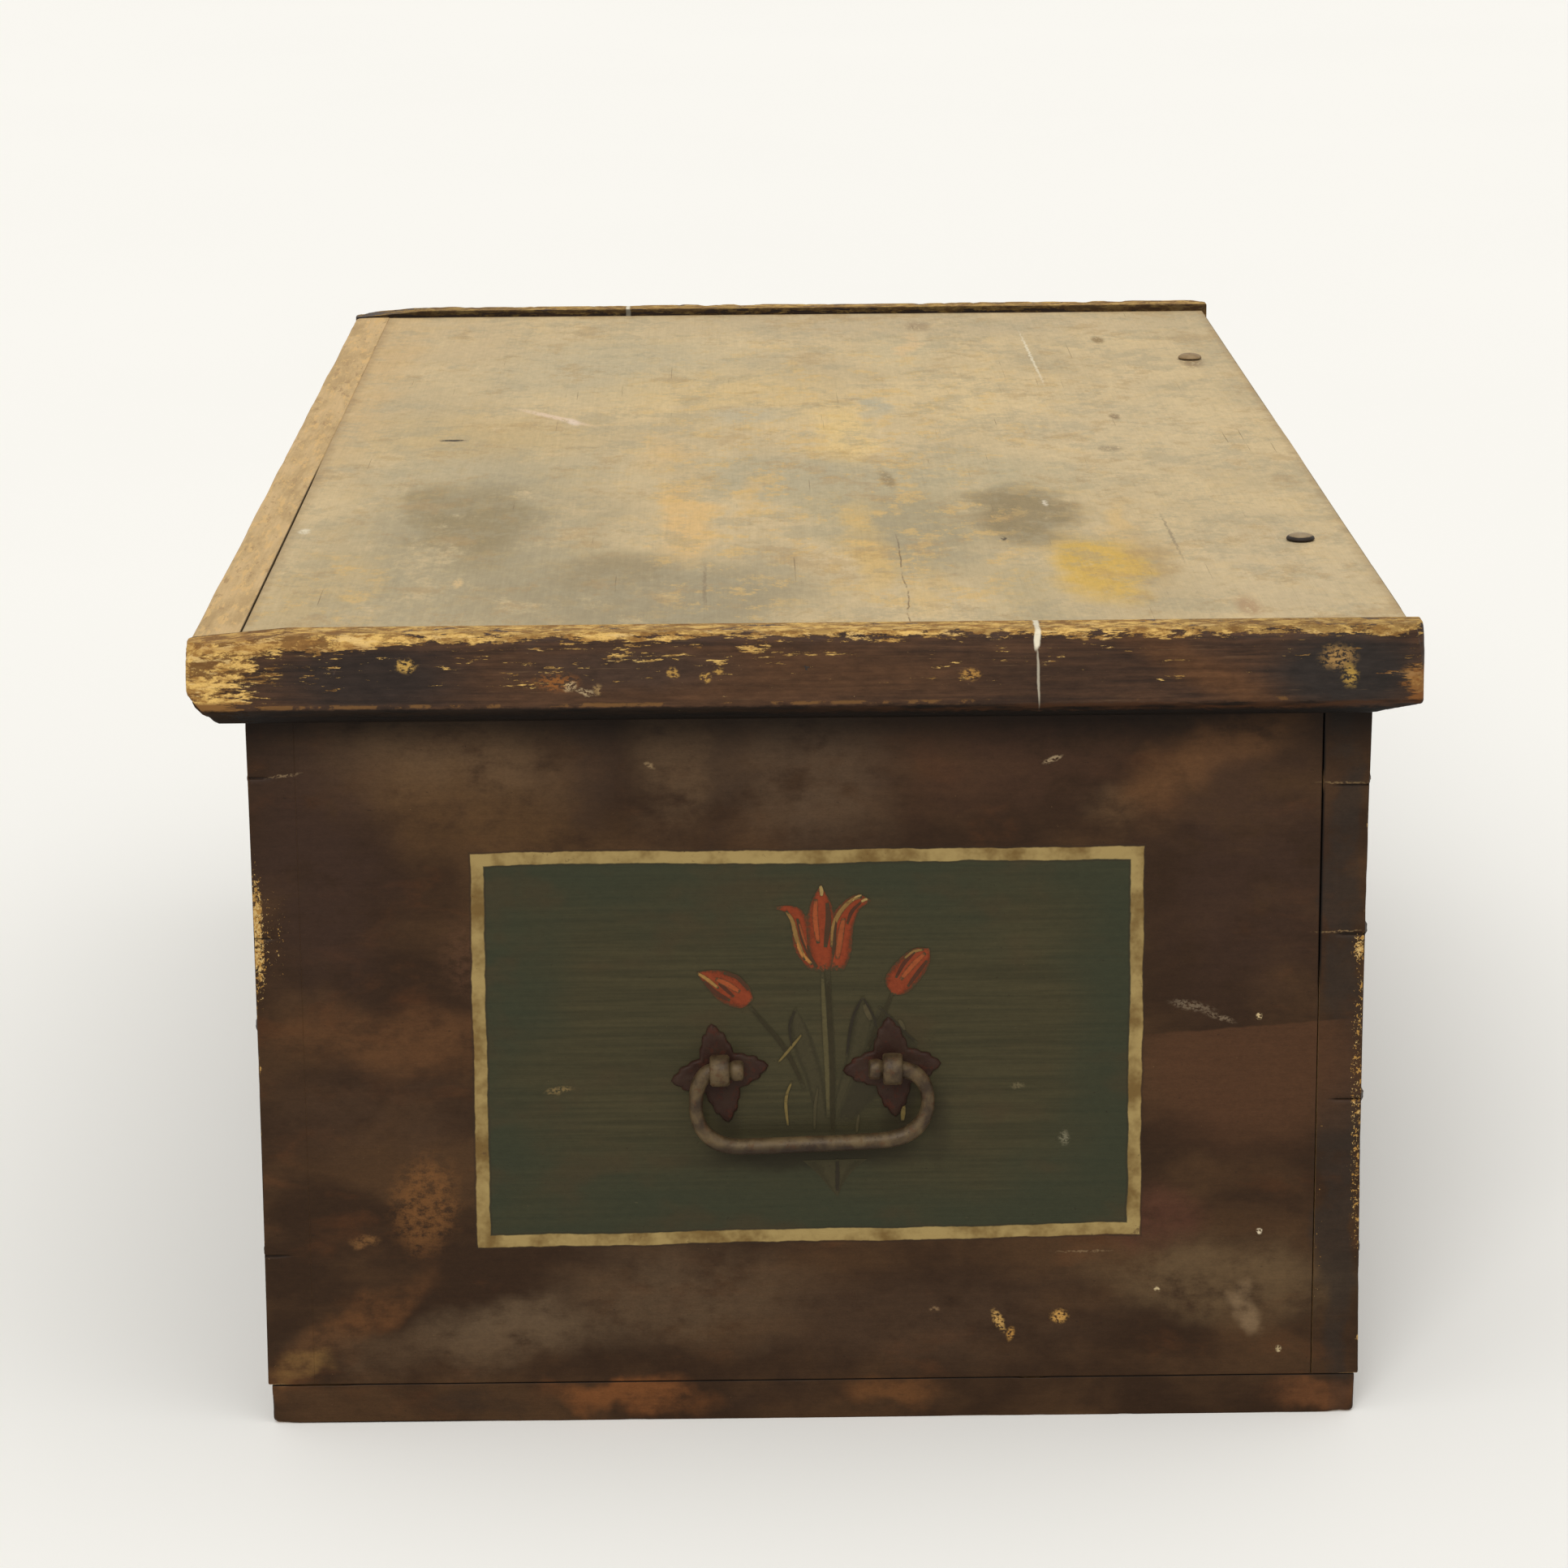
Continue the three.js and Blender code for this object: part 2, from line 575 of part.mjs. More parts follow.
// The slot that an eye's shank needs in the board and in the plate
function shankSlot(y) {
  const halfWidth = EYE_WIDTH / 2 + SLOT_CLEARANCE;
  const halfHeight = SHANK_THICKNESS / 2 + SLOT_CLEARANCE;
  const reach = WALL_THICKNESS + CUT_OVERRUN;
  return block(at(-reach, y - halfWidth, -halfHeight), at(reach, y + halfWidth, halfHeight));
}

// Four pointed leaves round the eye. Each side of a leaf bows out a little on its way to the waist.
function plateOutline() {
  const [width, height] = [PLATE_HALF_WIDTH, PLATE_HALF_HEIGHT];
  const tips = [[width, 0], [0, height], [-width, 0], [0, -height]];
  const outline = new THREE.Shape();
  outline.moveTo(...tips[0]);
  tips.forEach((tip, index) => {
    const next = tips[(index + 1) % tips.length];
    const corner = [tip[0] + next[0], tip[1] + next[1]];
    const waist = corner.map((reach) => WAIST_SHARE * reach);
    const swell = corner.map((reach) => Math.sign(reach) * LEAF_SWELL * Math.SQRT1_2);
    bowTo(outline, tip, waist, swell);
    bowTo(outline, waist, next, swell);
  });
  return outline;
}

function bowTo(outline, from, to, swell) {
  const [u, v] = [0, 1].map((axis) => (from[axis] + to[axis]) / 2 + swell[axis]);
  outline.quadraticCurveTo(u, v, to[0], to[1]);
}

function plate(end, wall, y) {
  const leaves = prismAlongX(plateOutline(), JOINT_GAP, JOINT_GAP + PLATE_THICKNESS);
  const flat = leaves.translate(0, y, -PLATE_DROP);
  return piece(`handle_plate_${end}_${wall}`, cut(flat, [shankSlot(y)]), 'plateIron', at(0, y, 0));
}

// A ring on a flat shank, whose two legs are bent over flat inside the case
function eye(end, wall, y) {
  const ring = (radius, width) => {
    const disc = new THREE.CylinderGeometry(radius, radius, width, BARREL_SIDES);
    return disc.translate(EYE_STANDOFF, y, 0);
  };
  const half = EYE_WIDTH / 2;
  const clenchOuter = -WALL_THICKNESS - JOINT_GAP;
  const clenchInner = clenchOuter - CLENCH_THICKNESS;
  const forged = join([
    ring(EYE_RADIUS, EYE_WIDTH),
    block(at(clenchInner, y - half, -SHANK_THICKNESS / 2), at(EYE_STANDOFF, y + half, SHANK_THICKNESS / 2)),
    block(at(clenchInner, y - half, -CLENCH_REACH), at(clenchOuter, y + half, CLENCH_REACH)),
  ]);
  const bored = cut(forged, [ring(roundBore(EYE_BORE_RADIUS, BARREL_SIDES), EYE_WIDTH + CUT_OVERRUN)]);
  return piece(`handle_eye_${end}_${wall}`, bored, 'bailIron', at(0, y, 0));
}

// The bail's line in its own plane: in through one eye, round the shoulder, down, along the grip
// and up again
class BailLine extends THREE.Curve {
  constructor() {
    super();
    const eyeOuter = (EYE_SPREAD + EYE_WIDTH) / 2 + BAIL_PLAY;
    const legY = eyeOuter + SHOULDER_RADIUS;
    const cornerRadius = Math.min(GRIP_CORNER_RADIUS, BAIL_DROP - SHOULDER_RADIUS);
    const cornerY = legY - cornerRadius;
    const cornerZ = cornerRadius - BAIL_DROP;
    this.path = new THREE.Path();
    this.path.moveTo(-BEAD_Y, 0);
    this.path.lineTo(-eyeOuter, 0);
    this.path.absarc(-eyeOuter, -SHOULDER_RADIUS, SHOULDER_RADIUS, Math.PI / 2, Math.PI, false);
    this.path.lineTo(-legY, cornerZ);
    this.path.absarc(-cornerY, cornerZ, cornerRadius, Math.PI, Math.PI * 1.5, false);
    this.path.lineTo(cornerY, -BAIL_DROP);
    this.path.absarc(cornerY, cornerZ, cornerRadius, -Math.PI / 2, 0, false);
    this.path.lineTo(legY, -SHOULDER_RADIUS);
    this.path.absarc(eyeOuter, -SHOULDER_RADIUS, SHOULDER_RADIUS, 0, Math.PI / 2, false);
    this.path.lineTo(BEAD_Y, 0);
  }

  getPoint(t) {
    const { x, y } = this.path.getPoint(t);
    return at(EYE_STANDOFF, x, y);
  }
}

function bead(y) {
  const half = BEAD_LENGTH / 2;
  const profile = [
    [0, -half],
    [BEAD_RADIUS * BEAD_TAPER_SHARE, -half],
    [BEAD_RADIUS, BEAD_TAPER - half],
    [BEAD_RADIUS, half - BEAD_TAPER],
    [BEAD_RADIUS * BEAD_TAPER_SHARE, half],
    [0, half],
  ].map(([r, along]) => new THREE.Vector2(r, along));
  return new THREE.LatheGeometry(profile, BAIL_SIDES).translate(EYE_STANDOFF, y, 0);
}

function bail(end) {
  const round = new THREE.Shape().absarc(0, 0, BAIL_RADIUS, 0, 2 * Math.PI, false);
  const rim = round.getSpacedPoints(BAIL_SIDES).slice(0, BAIL_SIDES);
  const section = polygon(rim.map(({ x, y }) => [x, y]));
  const route = { steps: BAIL_STEPS, bevelEnabled: false, extrudePath: new BailLine() };
  const rod = new THREE.ExtrudeGeometry(section, route);
  const forged = join([rod, bead(-BEAD_Y), bead(BEAD_Y)]);
  return piece(`bail_${end}`, forged, 'bailIron', at(EYE_STANDOFF, 0, 0));
}

function handle(end) {
  const group = new THREE.Group();
  group.position.set(ENDS[end] * CASE_END, -HANDLE_FORWARD, HANDLE_HEIGHT);
  group.rotation.z = end === 'right' ? 0 : Math.PI;
  WALL_NAMES.forEach((wall) => {
    const y = ENDS[end] * eyeY(wall);
    group.add(plate(end, wall, y), eye(end, wall, y));
  });
  group.add(bail(end));
  return group;
}

// The chest. The case is centred while it is built, and the whole chest is then moved so that the
// lid's outline is centred instead.

function caseGroup() {
  const group = new THREE.Group();
  group.add(...WALL_NAMES.map(longBoard), ...END_NAMES.map(endBoard), ...bottomBoards());
  END_NAMES.forEach((end) => {
    WALL_NAMES.forEach((wall) => {
      const spots = cornerNailSpots(wall, end);
      group.add(...spots.map((spot, index) => nail(`corner_nail_${wall}_${end}_${index + 1}`, spot)));
    });
    group.add(handle(end), backStrap(end), hingePin(end));
    const strapSpots = backStrapNailSpots(end);
    group.add(...strapSpots.map((spot, index) => nail(`back_strap_nail_${end}_${index + 1}`, spot)));
  });
  return group;
}

function lidGroup() {
  const group = new THREE.Group();
  group.add(mainBoard(), frontBatten());
  group.add(...battenNailSpots().map((spot, index) => nail(`batten_nail_${index + 1}`, spot)));
  END_NAMES.forEach((end) => {
    group.add(cleat(end), lidStrap(end), rivet(end));
    group.add(nail(`lid_strap_nail_${end}`, lidStrapNailSpot(end)));
    group.add(...cleatNailSpots(end).map((spot, index) => nail(`cleat_nail_${end}_${index + 1}`, spot)));
  });
  return group;
}

const chest = new THREE.Group();
chest.add(caseGroup(), lidGroup());
chest.position.y = -(LID_FRONT + CLEAT_BACK) / 2;

export default chest;
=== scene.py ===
"""The looks of a nailed blanket chest: worn paint with a framed tulip on the ends and the front,
a weathered lid, and wrought iron. Lengths here are millimetres, and become metres in the meshes."""

import math

import bpy
import numpy as np
from mathutils import Matrix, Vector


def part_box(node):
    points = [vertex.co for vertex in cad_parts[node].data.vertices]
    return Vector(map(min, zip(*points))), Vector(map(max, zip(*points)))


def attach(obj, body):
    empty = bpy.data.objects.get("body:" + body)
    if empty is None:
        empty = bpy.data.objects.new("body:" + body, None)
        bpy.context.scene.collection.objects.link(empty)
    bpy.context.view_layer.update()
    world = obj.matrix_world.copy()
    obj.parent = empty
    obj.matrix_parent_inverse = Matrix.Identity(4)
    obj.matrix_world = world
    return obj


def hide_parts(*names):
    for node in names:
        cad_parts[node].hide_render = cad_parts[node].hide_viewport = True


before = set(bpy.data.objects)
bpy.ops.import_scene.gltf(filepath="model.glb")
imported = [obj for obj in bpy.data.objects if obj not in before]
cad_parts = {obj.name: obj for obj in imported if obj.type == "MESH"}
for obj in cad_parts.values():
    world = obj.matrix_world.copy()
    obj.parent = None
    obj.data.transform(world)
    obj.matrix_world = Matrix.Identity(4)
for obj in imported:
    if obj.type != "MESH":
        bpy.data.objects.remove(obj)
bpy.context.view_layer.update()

MM = 0.001
SIDES = {"right": 1, "left": -1}
WALLS = {"back": 1, "front": -1}
# A board's faces, in the order in which its materials are given
FACE_ORDER = ("left", "right", "front", "back", "under", "top")


def node_box(node):
    """A node's lowest and highest corner, in millimetres"""
    low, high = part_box(node)
    return np.round(np.array(low) / MM, 3), np.round(np.array(high) / MM, 3)


CASE_LOW, CASE_HIGH = node_box("end_board_right")
MID_Y = (CASE_LOW[1] + CASE_HIGH[1]) / 2
CASE_END = CASE_HIGH[0]
WALL_TOP = CASE_HIGH[2]


# Camera and light

CAMERA_PLACE = (2818, MID_Y - 34.9, 907)
CAMERA_YAW = -0.55
CAMERA_PITCH = 14.0
CAMERA_ROLL = -0.435
FOCAL_LENGTH = 108.8
SENSOR = 36


def linked(name, data):
    """A new object in the scene"""
    piece = bpy.data.objects.new(name, data)
    bpy.context.scene.collection.objects.link(piece)
    return piece


def add_camera():
    data = bpy.data.cameras.new("camera")
    data.lens = FOCAL_LENGTH
    data.sensor_width = data.sensor_height = SENSOR
    camera = linked("camera", data)
    yaw, pitch, roll = (math.radians(a) for a in (CAMERA_YAW, CAMERA_PITCH, CAMERA_ROLL))
    ahead = np.array([-math.cos(yaw) * math.cos(pitch), -math.sin(yaw) * math.cos(pitch), -math.sin(pitch)])
    level = np.array([-math.sin(yaw), math.cos(yaw), 0])
    above = np.cross(level, ahead)
    turn = np.eye(4)
    turn[:3, 0] = level * math.cos(roll) + above * math.sin(roll)
    turn[:3, 1] = above * math.cos(roll) - level * math.sin(roll)
    turn[:3, 2] = -ahead
    turn[:3, 3] = np.array(CAMERA_PLACE) * MM
    camera.matrix_world = Matrix(turn.tolist())
    bpy.context.scene.camera = camera


def rgb(red, green, blue):
    """A screen colour, 0 to 255 a channel, as linear values"""
    def linear(value):
        share = value / 255
        return share / 12.92 if share <= 0.04045 else ((share + 0.055) / 1.055) ** 2.4
    return (linear(red), linear(green), linear(blue), 1)


# Directions point from the chest to the light: azimuth from +X towards +Y, and elevation, in degrees
KEY_LIGHT = {"azimuth": -12, "elevation": 34, "strength": 1.35, "angle": 30}
TOP_LIGHT = {"azimuth": 20, "elevation": 78, "strength": 0.92, "angle": 70}
SKY_FILL = 0.47
SKY_COLOUR = rgb(255, 252, 246)
BACKGROUND = rgb(250, 248, 243)
FLOOR_COLOUR = (250, 249, 245)
FLOOR_SIZE = 40000


def add_sun(name, azimuth, elevation, strength, angle):
    data = bpy.data.lights.new(name, "SUN")
    data.energy = strength
    data.angle = math.radians(angle)
    linked(name, data).rotation_euler = (0, math.radians(90 - elevation), math.radians(azimuth))


def add_world():
    """A plain fill on the object, and the pale background where the camera, gloss or glass sees it"""
    world = bpy.data.worlds.new("studio")
    world.use_nodes = True
    bpy.context.scene.world = world
    nodes, links = world.node_tree.nodes, world.node_tree.links
    nodes.clear()
    fill, seen = nodes.new("ShaderNodeBackground"), nodes.new("ShaderNodeBackground")
    fill.inputs["Color"].default_value = SKY_COLOUR
    fill.inputs["Strength"].default_value = SKY_FILL
    seen.inputs["Color"].default_value = BACKGROUND
    path = nodes.new("ShaderNodeLightPath")
    either = path.outputs["Is Camera Ray"]
    for ray in ("Is Glossy Ray", "Is Transmission Ray"):
        most = nodes.new("ShaderNodeMath")
        most.operation = "MAXIMUM"
        links.new(either, most.inputs[0])
        links.new(path.outputs[ray], most.inputs[1])
        either = most.outputs[0]
    mix = nodes.new("ShaderNodeMixShader")
    output = nodes.new("ShaderNodeOutputWorld")
    for socket, end in ((either, mix.inputs["Fac"]), (fill.outputs[0], mix.inputs[1]),
                        (seen.outputs[0], mix.inputs[2]), (mix.outputs[0], output.inputs["Surface"])):
        links.new(socket, end)


# Materials

class Value:
    """A number or a colour that varies over a surface. Sums and products of it become nodes."""

    def __init__(self, coat, socket):
        self.coat = coat
        self.socket = socket

    def __add__(self, other):
        return self.coat.math("ADD", self, other)

    def __sub__(self, other):
        return self.coat.math("SUBTRACT", self, other)

    def __rsub__(self, other):
        return self.coat.math("SUBTRACT", other, self)

    def __mul__(self, other):
        return self.coat.math("MULTIPLY", self, other)

    def __abs__(self):
        return self.coat.math("ABSOLUTE", self)

    __radd__, __rmul__ = __add__, __mul__

    def ramp(self, start, end):
        """0 at start and before it, 1 at end and past it, whichever of the two is higher"""
        ends = {"From Min": min(start, end), "From Max": max(start, end),
                "To Min": 0 if start < end else 1, "To Max": 1 if start < end else 0}
        return self.coat.made("ShaderNodeMapRange", "Result", {"Value": self, **ends},
                              interpolation_type="SMOOTHSTEP")

    def swing(self, amount):
        """Noise round 0.5 turned into a length round 0"""
        return (self - 0.5) * (2 * amount)

    def shaded(self, factor):
        """This colour times a number that stands round 1"""
        return self.coat.made("ShaderNodeVectorMath", 0, {0: self, "Scale": factor}, operation="SCALE")

    def over(self, share, tone):
        """This colour with a share of another laid over it"""
        return self.coat.blend(share, self, tone)


class Coat:
    """One material's node tree, and the colour that is built up on it in layers. Its place vector is
    in millimetres, with the axes that are given: the first two span the surface. A colour is three
    screen values, 0 to 255."""

    def __init__(self, name, axes=("x", "y", "z"), signs=(1, 1, 1), middle=(0, 0, 0)):
        self.material = bpy.data.materials.new(name)
        self.material.use_nodes = True
        self.tree = self.material.node_tree
        self.tree.nodes.clear()
        self.shader = self.tree.nodes.new("ShaderNodeBsdfPrincipled")
        output = self.tree.nodes.new("ShaderNodeOutputMaterial")
        self.tree.links.new(self.shader.outputs["BSDF"], output.inputs["Surface"])
        metres = self.made("ShaderNodeTexCoord", "Object", {})
        parts = self.split(self.mapped(metres, (1 / MM,) * 3, tuple(-m for m in middle)))
        ordered = dict(enumerate(parts["xyz".index(axis)] for axis in axes))
        self.place = self.mapped(self.made("ShaderNodeCombineXYZ", 0, ordered), signs)

    def made(self, kind, output, inputs, **settings):
        """A new node with its settings and inputs, as the value of one of its outputs"""
        node = self.tree.nodes.new(kind)
        for key, value in settings.items():
            setattr(node, key, value)
        for key, value in inputs.items():
            self.feed(node.inputs[key], value)
        return Value(self, node.outputs[output])

    def feed(self, socket, value):
        if isinstance(value, Value):
            self.tree.links.new(value.socket, socket)
        elif socket.type == "RGBA":
            socket.default_value = rgb(*value)
        else:
            socket.default_value = value

    def mapped(self, vector, scale=(1, 1, 1), location=(0, 0, 0)):
        return self.made("ShaderNodeMapping", 0, {"Vector": vector, "Scale": scale, "Location": location})

    def split(self, vector=None):
        """The parts of a vector, or of the place"""
        node = self.made("ShaderNodeSeparateXYZ", 0, {0: vector or self.place}).socket.node
        return [Value(self, output) for output in node.outputs]

    def math(self, operation, a, b=0.0):
        return self.made("ShaderNodeMath", 0, {0: a, 1: b}, operation=operation)

    def most(self, first, *others):
        for other in others:
            first = self.math("MAXIMUM", first, other)
        return first

    def least(self, first, *others):
        for other in others:
            first = self.math("MINIMUM", first, other)
        return first

    def blend(self, share, one, other):
        return self.made("ShaderNodeMix", 2, {0: share, 6: one, 7: other}, data_type="RGBA")

    def noise(self, size, seed, detail=3.0, roughness=0.55, distortion=0.0):
        """Noise round 0.5. The size is one length, or one for each of the place's axes."""
        lengths = size if isinstance(size, tuple) else (size,) * 3
        shift = (seed * 3.7, seed * 1.3, seed * 5.1)
        at = self.mapped(self.place, tuple(1 / length for length in lengths), shift)
        return self.made("ShaderNodeTexNoise", 0, {"Vector": at, "Scale": 1, "Detail": detail,
                                                   "Roughness": roughness, "Distortion": distortion})

    def wobbled(self, size, amount, seed):
        """The place, pushed about by noise in both directions of the surface"""
        push = self.made("ShaderNodeCombineXYZ", 0, {0: self.noise(size, seed).swing(amount),
                                                     1: self.noise(size, seed + 7).swing(amount)})
        return self.made("ShaderNodeVectorMath", 0, {0: self.place, 1: push}, operation="ADD")

    def spot(self, oval, place):
        """1 inside an ellipse on the surface and 0 outside it"""
        u, v, half_length, half_height, turn, soft = oval
        inside = {"Vector": place, "Location": (u, v, 0), "Rotation": (0, 0, math.radians(turn)),
                  "Scale": (half_length, half_height, 1e6)}
        at = self.made("ShaderNodeMapping", 0, inside, vector_type="TEXTURE")
        length = self.made("ShaderNodeVectorMath", "Value", {0: at}, operation="LENGTH")
        return length.ramp(1 + soft, 1 - soft)

    def spots(self, table, place, total=0.0):
        """The sum of the table's ellipses, each times its strength"""
        for *oval, strength in table:
            total = self.spot(oval, place) * strength + total
        return total

    def attribute(self, name, output="Fac"):
        return self.made("ShaderNodeAttribute", output, {}, attribute_name=name)

    def base(self, share, one, other):
        self.colour = self.blend(share, one, other)

    def lay(self, share, tone):
        self.colour = self.colour.over(share, tone)

    def shade(self, factor):
        self.colour = self.colour.shaded(factor)

    def stain(self, table, place, patchy=1.0):
        """Lays each stain of the table over the colour, ragged where the patchy mask is low"""
        for *oval, tone, strength in table:
            self.lay(self.spot(oval, place) * strength * patchy, tone)

    def finish(self, roughness, height, strength=0.5, metallic=0.0, specular=0.3):
        """The material with its gloss and its relief. Height is in millimetres."""
        normal = self.made("ShaderNodeBump", 0, {"Strength": strength, "Distance": MM, "Height": height})
        values = {"Base Color": self.colour, "Roughness": roughness, "Metallic": metallic,
                  "Specular IOR Level": specular, "Normal": normal}
        for key, value in values.items():
            self.feed(self.shader.inputs[key], value)
        return self.material


# The painted frame on each end, and its field. Places on an end are from the board's middle and
# from the floor.
FRAME_LEFT, FRAME_RIGHT = -167.3, 163.6
FRAME_LOW, FRAME_HIGH = 99.3, 299.2
FRAME_BAND = 3.2
FRAME_SLOPE = 0.0096

PAINT_DARK = (47, 31, 18)
PAINT_BROWN = (68, 47, 28)
PAINT_ORANGE = (88, 53, 28)
WORN_WOOD = (150, 112, 60)
WORN_PALE = (192, 154, 92)
PAINT_SHEEN = 0.1

# Each stain: u, v, half length, half height, turn in degrees, softness, colour, strength
END_STAINS = (
    (-186, 356, 62, 30, -8, 0.6, (96, 73, 50), 0.85), (-160, 318, 70, 20, -14, 0.7, (82, 58, 33), 0.7),
    (-107, 352, 14, 34, 4, 0.6, (58, 42, 30), 0.6), (-66, 352, 22, 40, 0, 0.5, (86, 66, 46), 0.75),
    (-44, 340, 8, 42, 0, 0.5, (50, 36, 26), 0.5), (2, 352, 40, 44, 0, 0.5, (80, 62, 45), 0.8),
    (100, 350, 60, 30, 4, 0.6, (66, 44, 30), 0.7), (150, 322, 16, 12, 0, 0.6, (84, 66, 46), 0.5),
    (212, 358, 66, 15, 32, 0.6, (100, 68, 40), 0.85), (-246, 300, 34, 66, 4, 0.6, (56, 39, 30), 0.7),
    (-208, 204, 56, 14, -3, 0.6, (86, 57, 33), 0.85), (-226, 166, 50, 22, 0, 0.6, (66, 47, 32), 0.6),
    (-240, 50, 46, 9, 36, 0.6, (96, 62, 34), 0.8), (-156, 50, 44, 14, 3, 0.6, (92, 74, 54), 0.8),
    (-196, 38, 60, 12, 0, 0.6, (86, 66, 46), 0.5), (-66, 66, 60, 24, 0, 0.6, (84, 66, 47), 0.7),
    (60, 52, 80, 24, 2, 0.6, (72, 53, 37), 0.5), (206, 74, 58, 20, -4, 0.6, (94, 74, 50), 0.8),
    (222, 55, 5, 10, 8, 0.6, (120, 98, 72), 0.7), (176, 108, 22, 14, 0, 0.6, (82, 50, 36), 0.6),
    (218, 290, 46, 60, 0, 0.6, (58, 40, 30), 0.6), (-96, 12, 40, 8, 0, 0.5, (108, 66, 34), 0.9),
    (-172, 10, 30, 9, 0, 0.5, (46, 34, 24), 0.7), (-18, 11, 26, 9, 0, 0.5, (50, 34, 22), 0.6),
    (40, 12, 24, 8, 0, 0.5, (100, 64, 34), 0.7), (256, 12, 22, 8, 0, 0.5, (102, 64, 36), 0.7),
    (-262, 30, 12, 5, 0, 0.6, (116, 88, 48), 0.7), (267, 190, 10, 190, 0, 0.25, (44, 37, 31), 0.65),
)
END_BLOTCHES = (
    (-197, 118, 15, 23, -8, 0.5, (106, 70, 37), 0.85), (-228, 99, 7, 3, 4, 0.4, (112, 78, 44), 0.8),
    (-170, 246, 14, 20, 20, 0.5, (82, 56, 38), 0.5),
)
END_PALE_MARKS = (
    (121, 348, 4.5, 1.2, 20, 0.4, (160, 138, 106), 0.8), (192, 219, 10, 2.2, -12, 0.5, (120, 104, 84), 0.6),
    (206, 213, 7, 1.4, -18, 0.5, (126, 108, 86), 0.6), (226, 213.5, 1.5, 1.5, 0, 0.4, (196, 172, 128), 0.9),
    (228, 99, 1.3, 1.6, 0, 0.4, (206, 190, 160), 0.9), (176, 68, 1.4, 1.4, 0, 0.4, (190, 170, 130), 0.9),
    (138, 89, 14, 0.5, 0, 0.5, (120, 98, 70), 0.7), (239, 35, 1.3, 1.5, 0, 0.4, (186, 166, 126), 0.8),
    (95, 52, 2.2, 5.5, 24, 0.5, (186, 146, 82), 0.9), (101, 45, 1.6, 3.5, -12, 0.5, (168, 124, 62), 0.9),
    (126, 54, 4.0, 3.2, 0, 0.5, (182, 138, 72), 0.9), (62, 59, 2.2, 1.2, 0, 0.5, (130, 104, 74), 0.7),
    (-128, 178, 6, 1.6, 8, 0.5, (118, 98, 62), 0.8), (128, 150, 2.4, 3.4, 0, 0.5, (116, 110, 88), 0.7),
    (104, 178, 3.2, 1.4, 0, 0.5, (112, 100, 72), 0.5), (-80, 347, 2.6, 1.2, -30, 0.5, (140, 116, 84), 0.7),
    (-262, 343, 8, 0.7, 8, 0.4, (130, 108, 80), 0.7), (266, 334.4, 12, 0.5, -1, 0.5, (120, 98, 66), 0.7),
    (265, 257.4, 11, 0.5, 2, 0.5, (128, 104, 70), 0.75),
)
# Painted shadow of the hanging bail on the field round it: under its grip and beside its legs
BAIL_PAINTED_SHADOW = (
    (-2, 141, 54, 6, 1.2, 0.6, (36, 30, 20), 0.7), (-43, 166, 6, 17, 4, 0.6, (40, 35, 23), 0.6),
    (45, 165, 8, 17, -4, 0.6, (38, 31, 21), 0.65), (64, 160, 5, 20, 0, 0.7, (42, 36, 24), 0.5),
    (2, 156, 44, 4, 0, 0.7, (42, 38, 26), 0.4),
)
# Where the paint's edges have flaked, as ellipses with a strength: at the front corner in one
# stretch, at the back from the upper nail down
END_FLAKING = (
    (-272, 262, 14, 34, 0, 0.6, 0.76), (-278, 150, 4, 200, 0, 0.4, 0.5), (279, 168, 8, 110, 0, 0.5, 0.92),
    (272, 250, 9, 8, 0, 0.6, 0.5), (258, 110, 3, 80, 0, 0.6, 0.66),
)


def grain(coat, along, across, seed):
    """Long streaks of brush and wood, the mottle of old paint and its pinholes, round 1"""
    coarse = coat.noise((along, across * 4, along), seed, 2).swing(0.096)
    fine = coat.noise((along * 0.4, across, along), seed + 1, 4, 0.7).swing(0.12)
    mottle = coat.noise((4.5, 3.2, 4), seed + 2, 4, 0.7).swing(0.26)
    pinholes = coat.noise((1.6, 0.8, 1.2), seed + 3, 3, 0.75).swing(0.22)
    return 1 + coarse + fine + mottle + pinholes


def brown_paint(coat, table, seed):
    """The clouded dark brown paint, before its frames and wear"""
    coat.base(coat.noise((80, 46, 60), seed, 4, 0.55, 0.3).ramp(0.42, 0.68), PAINT_DARK, PAINT_BROWN)
    coat.lay(coat.noise((50, 26, 40), seed + 2, 4, 0.6, 0.3).ramp(0.55, 0.75) * 0.4, PAINT_ORANGE)
    patchy = coat.noise((26, 18, 24), seed + 4, 5, 0.65).ramp(0.24, 0.58)
    coat.stain(table, coat.wobbled(30, 16, seed + 3), patchy)


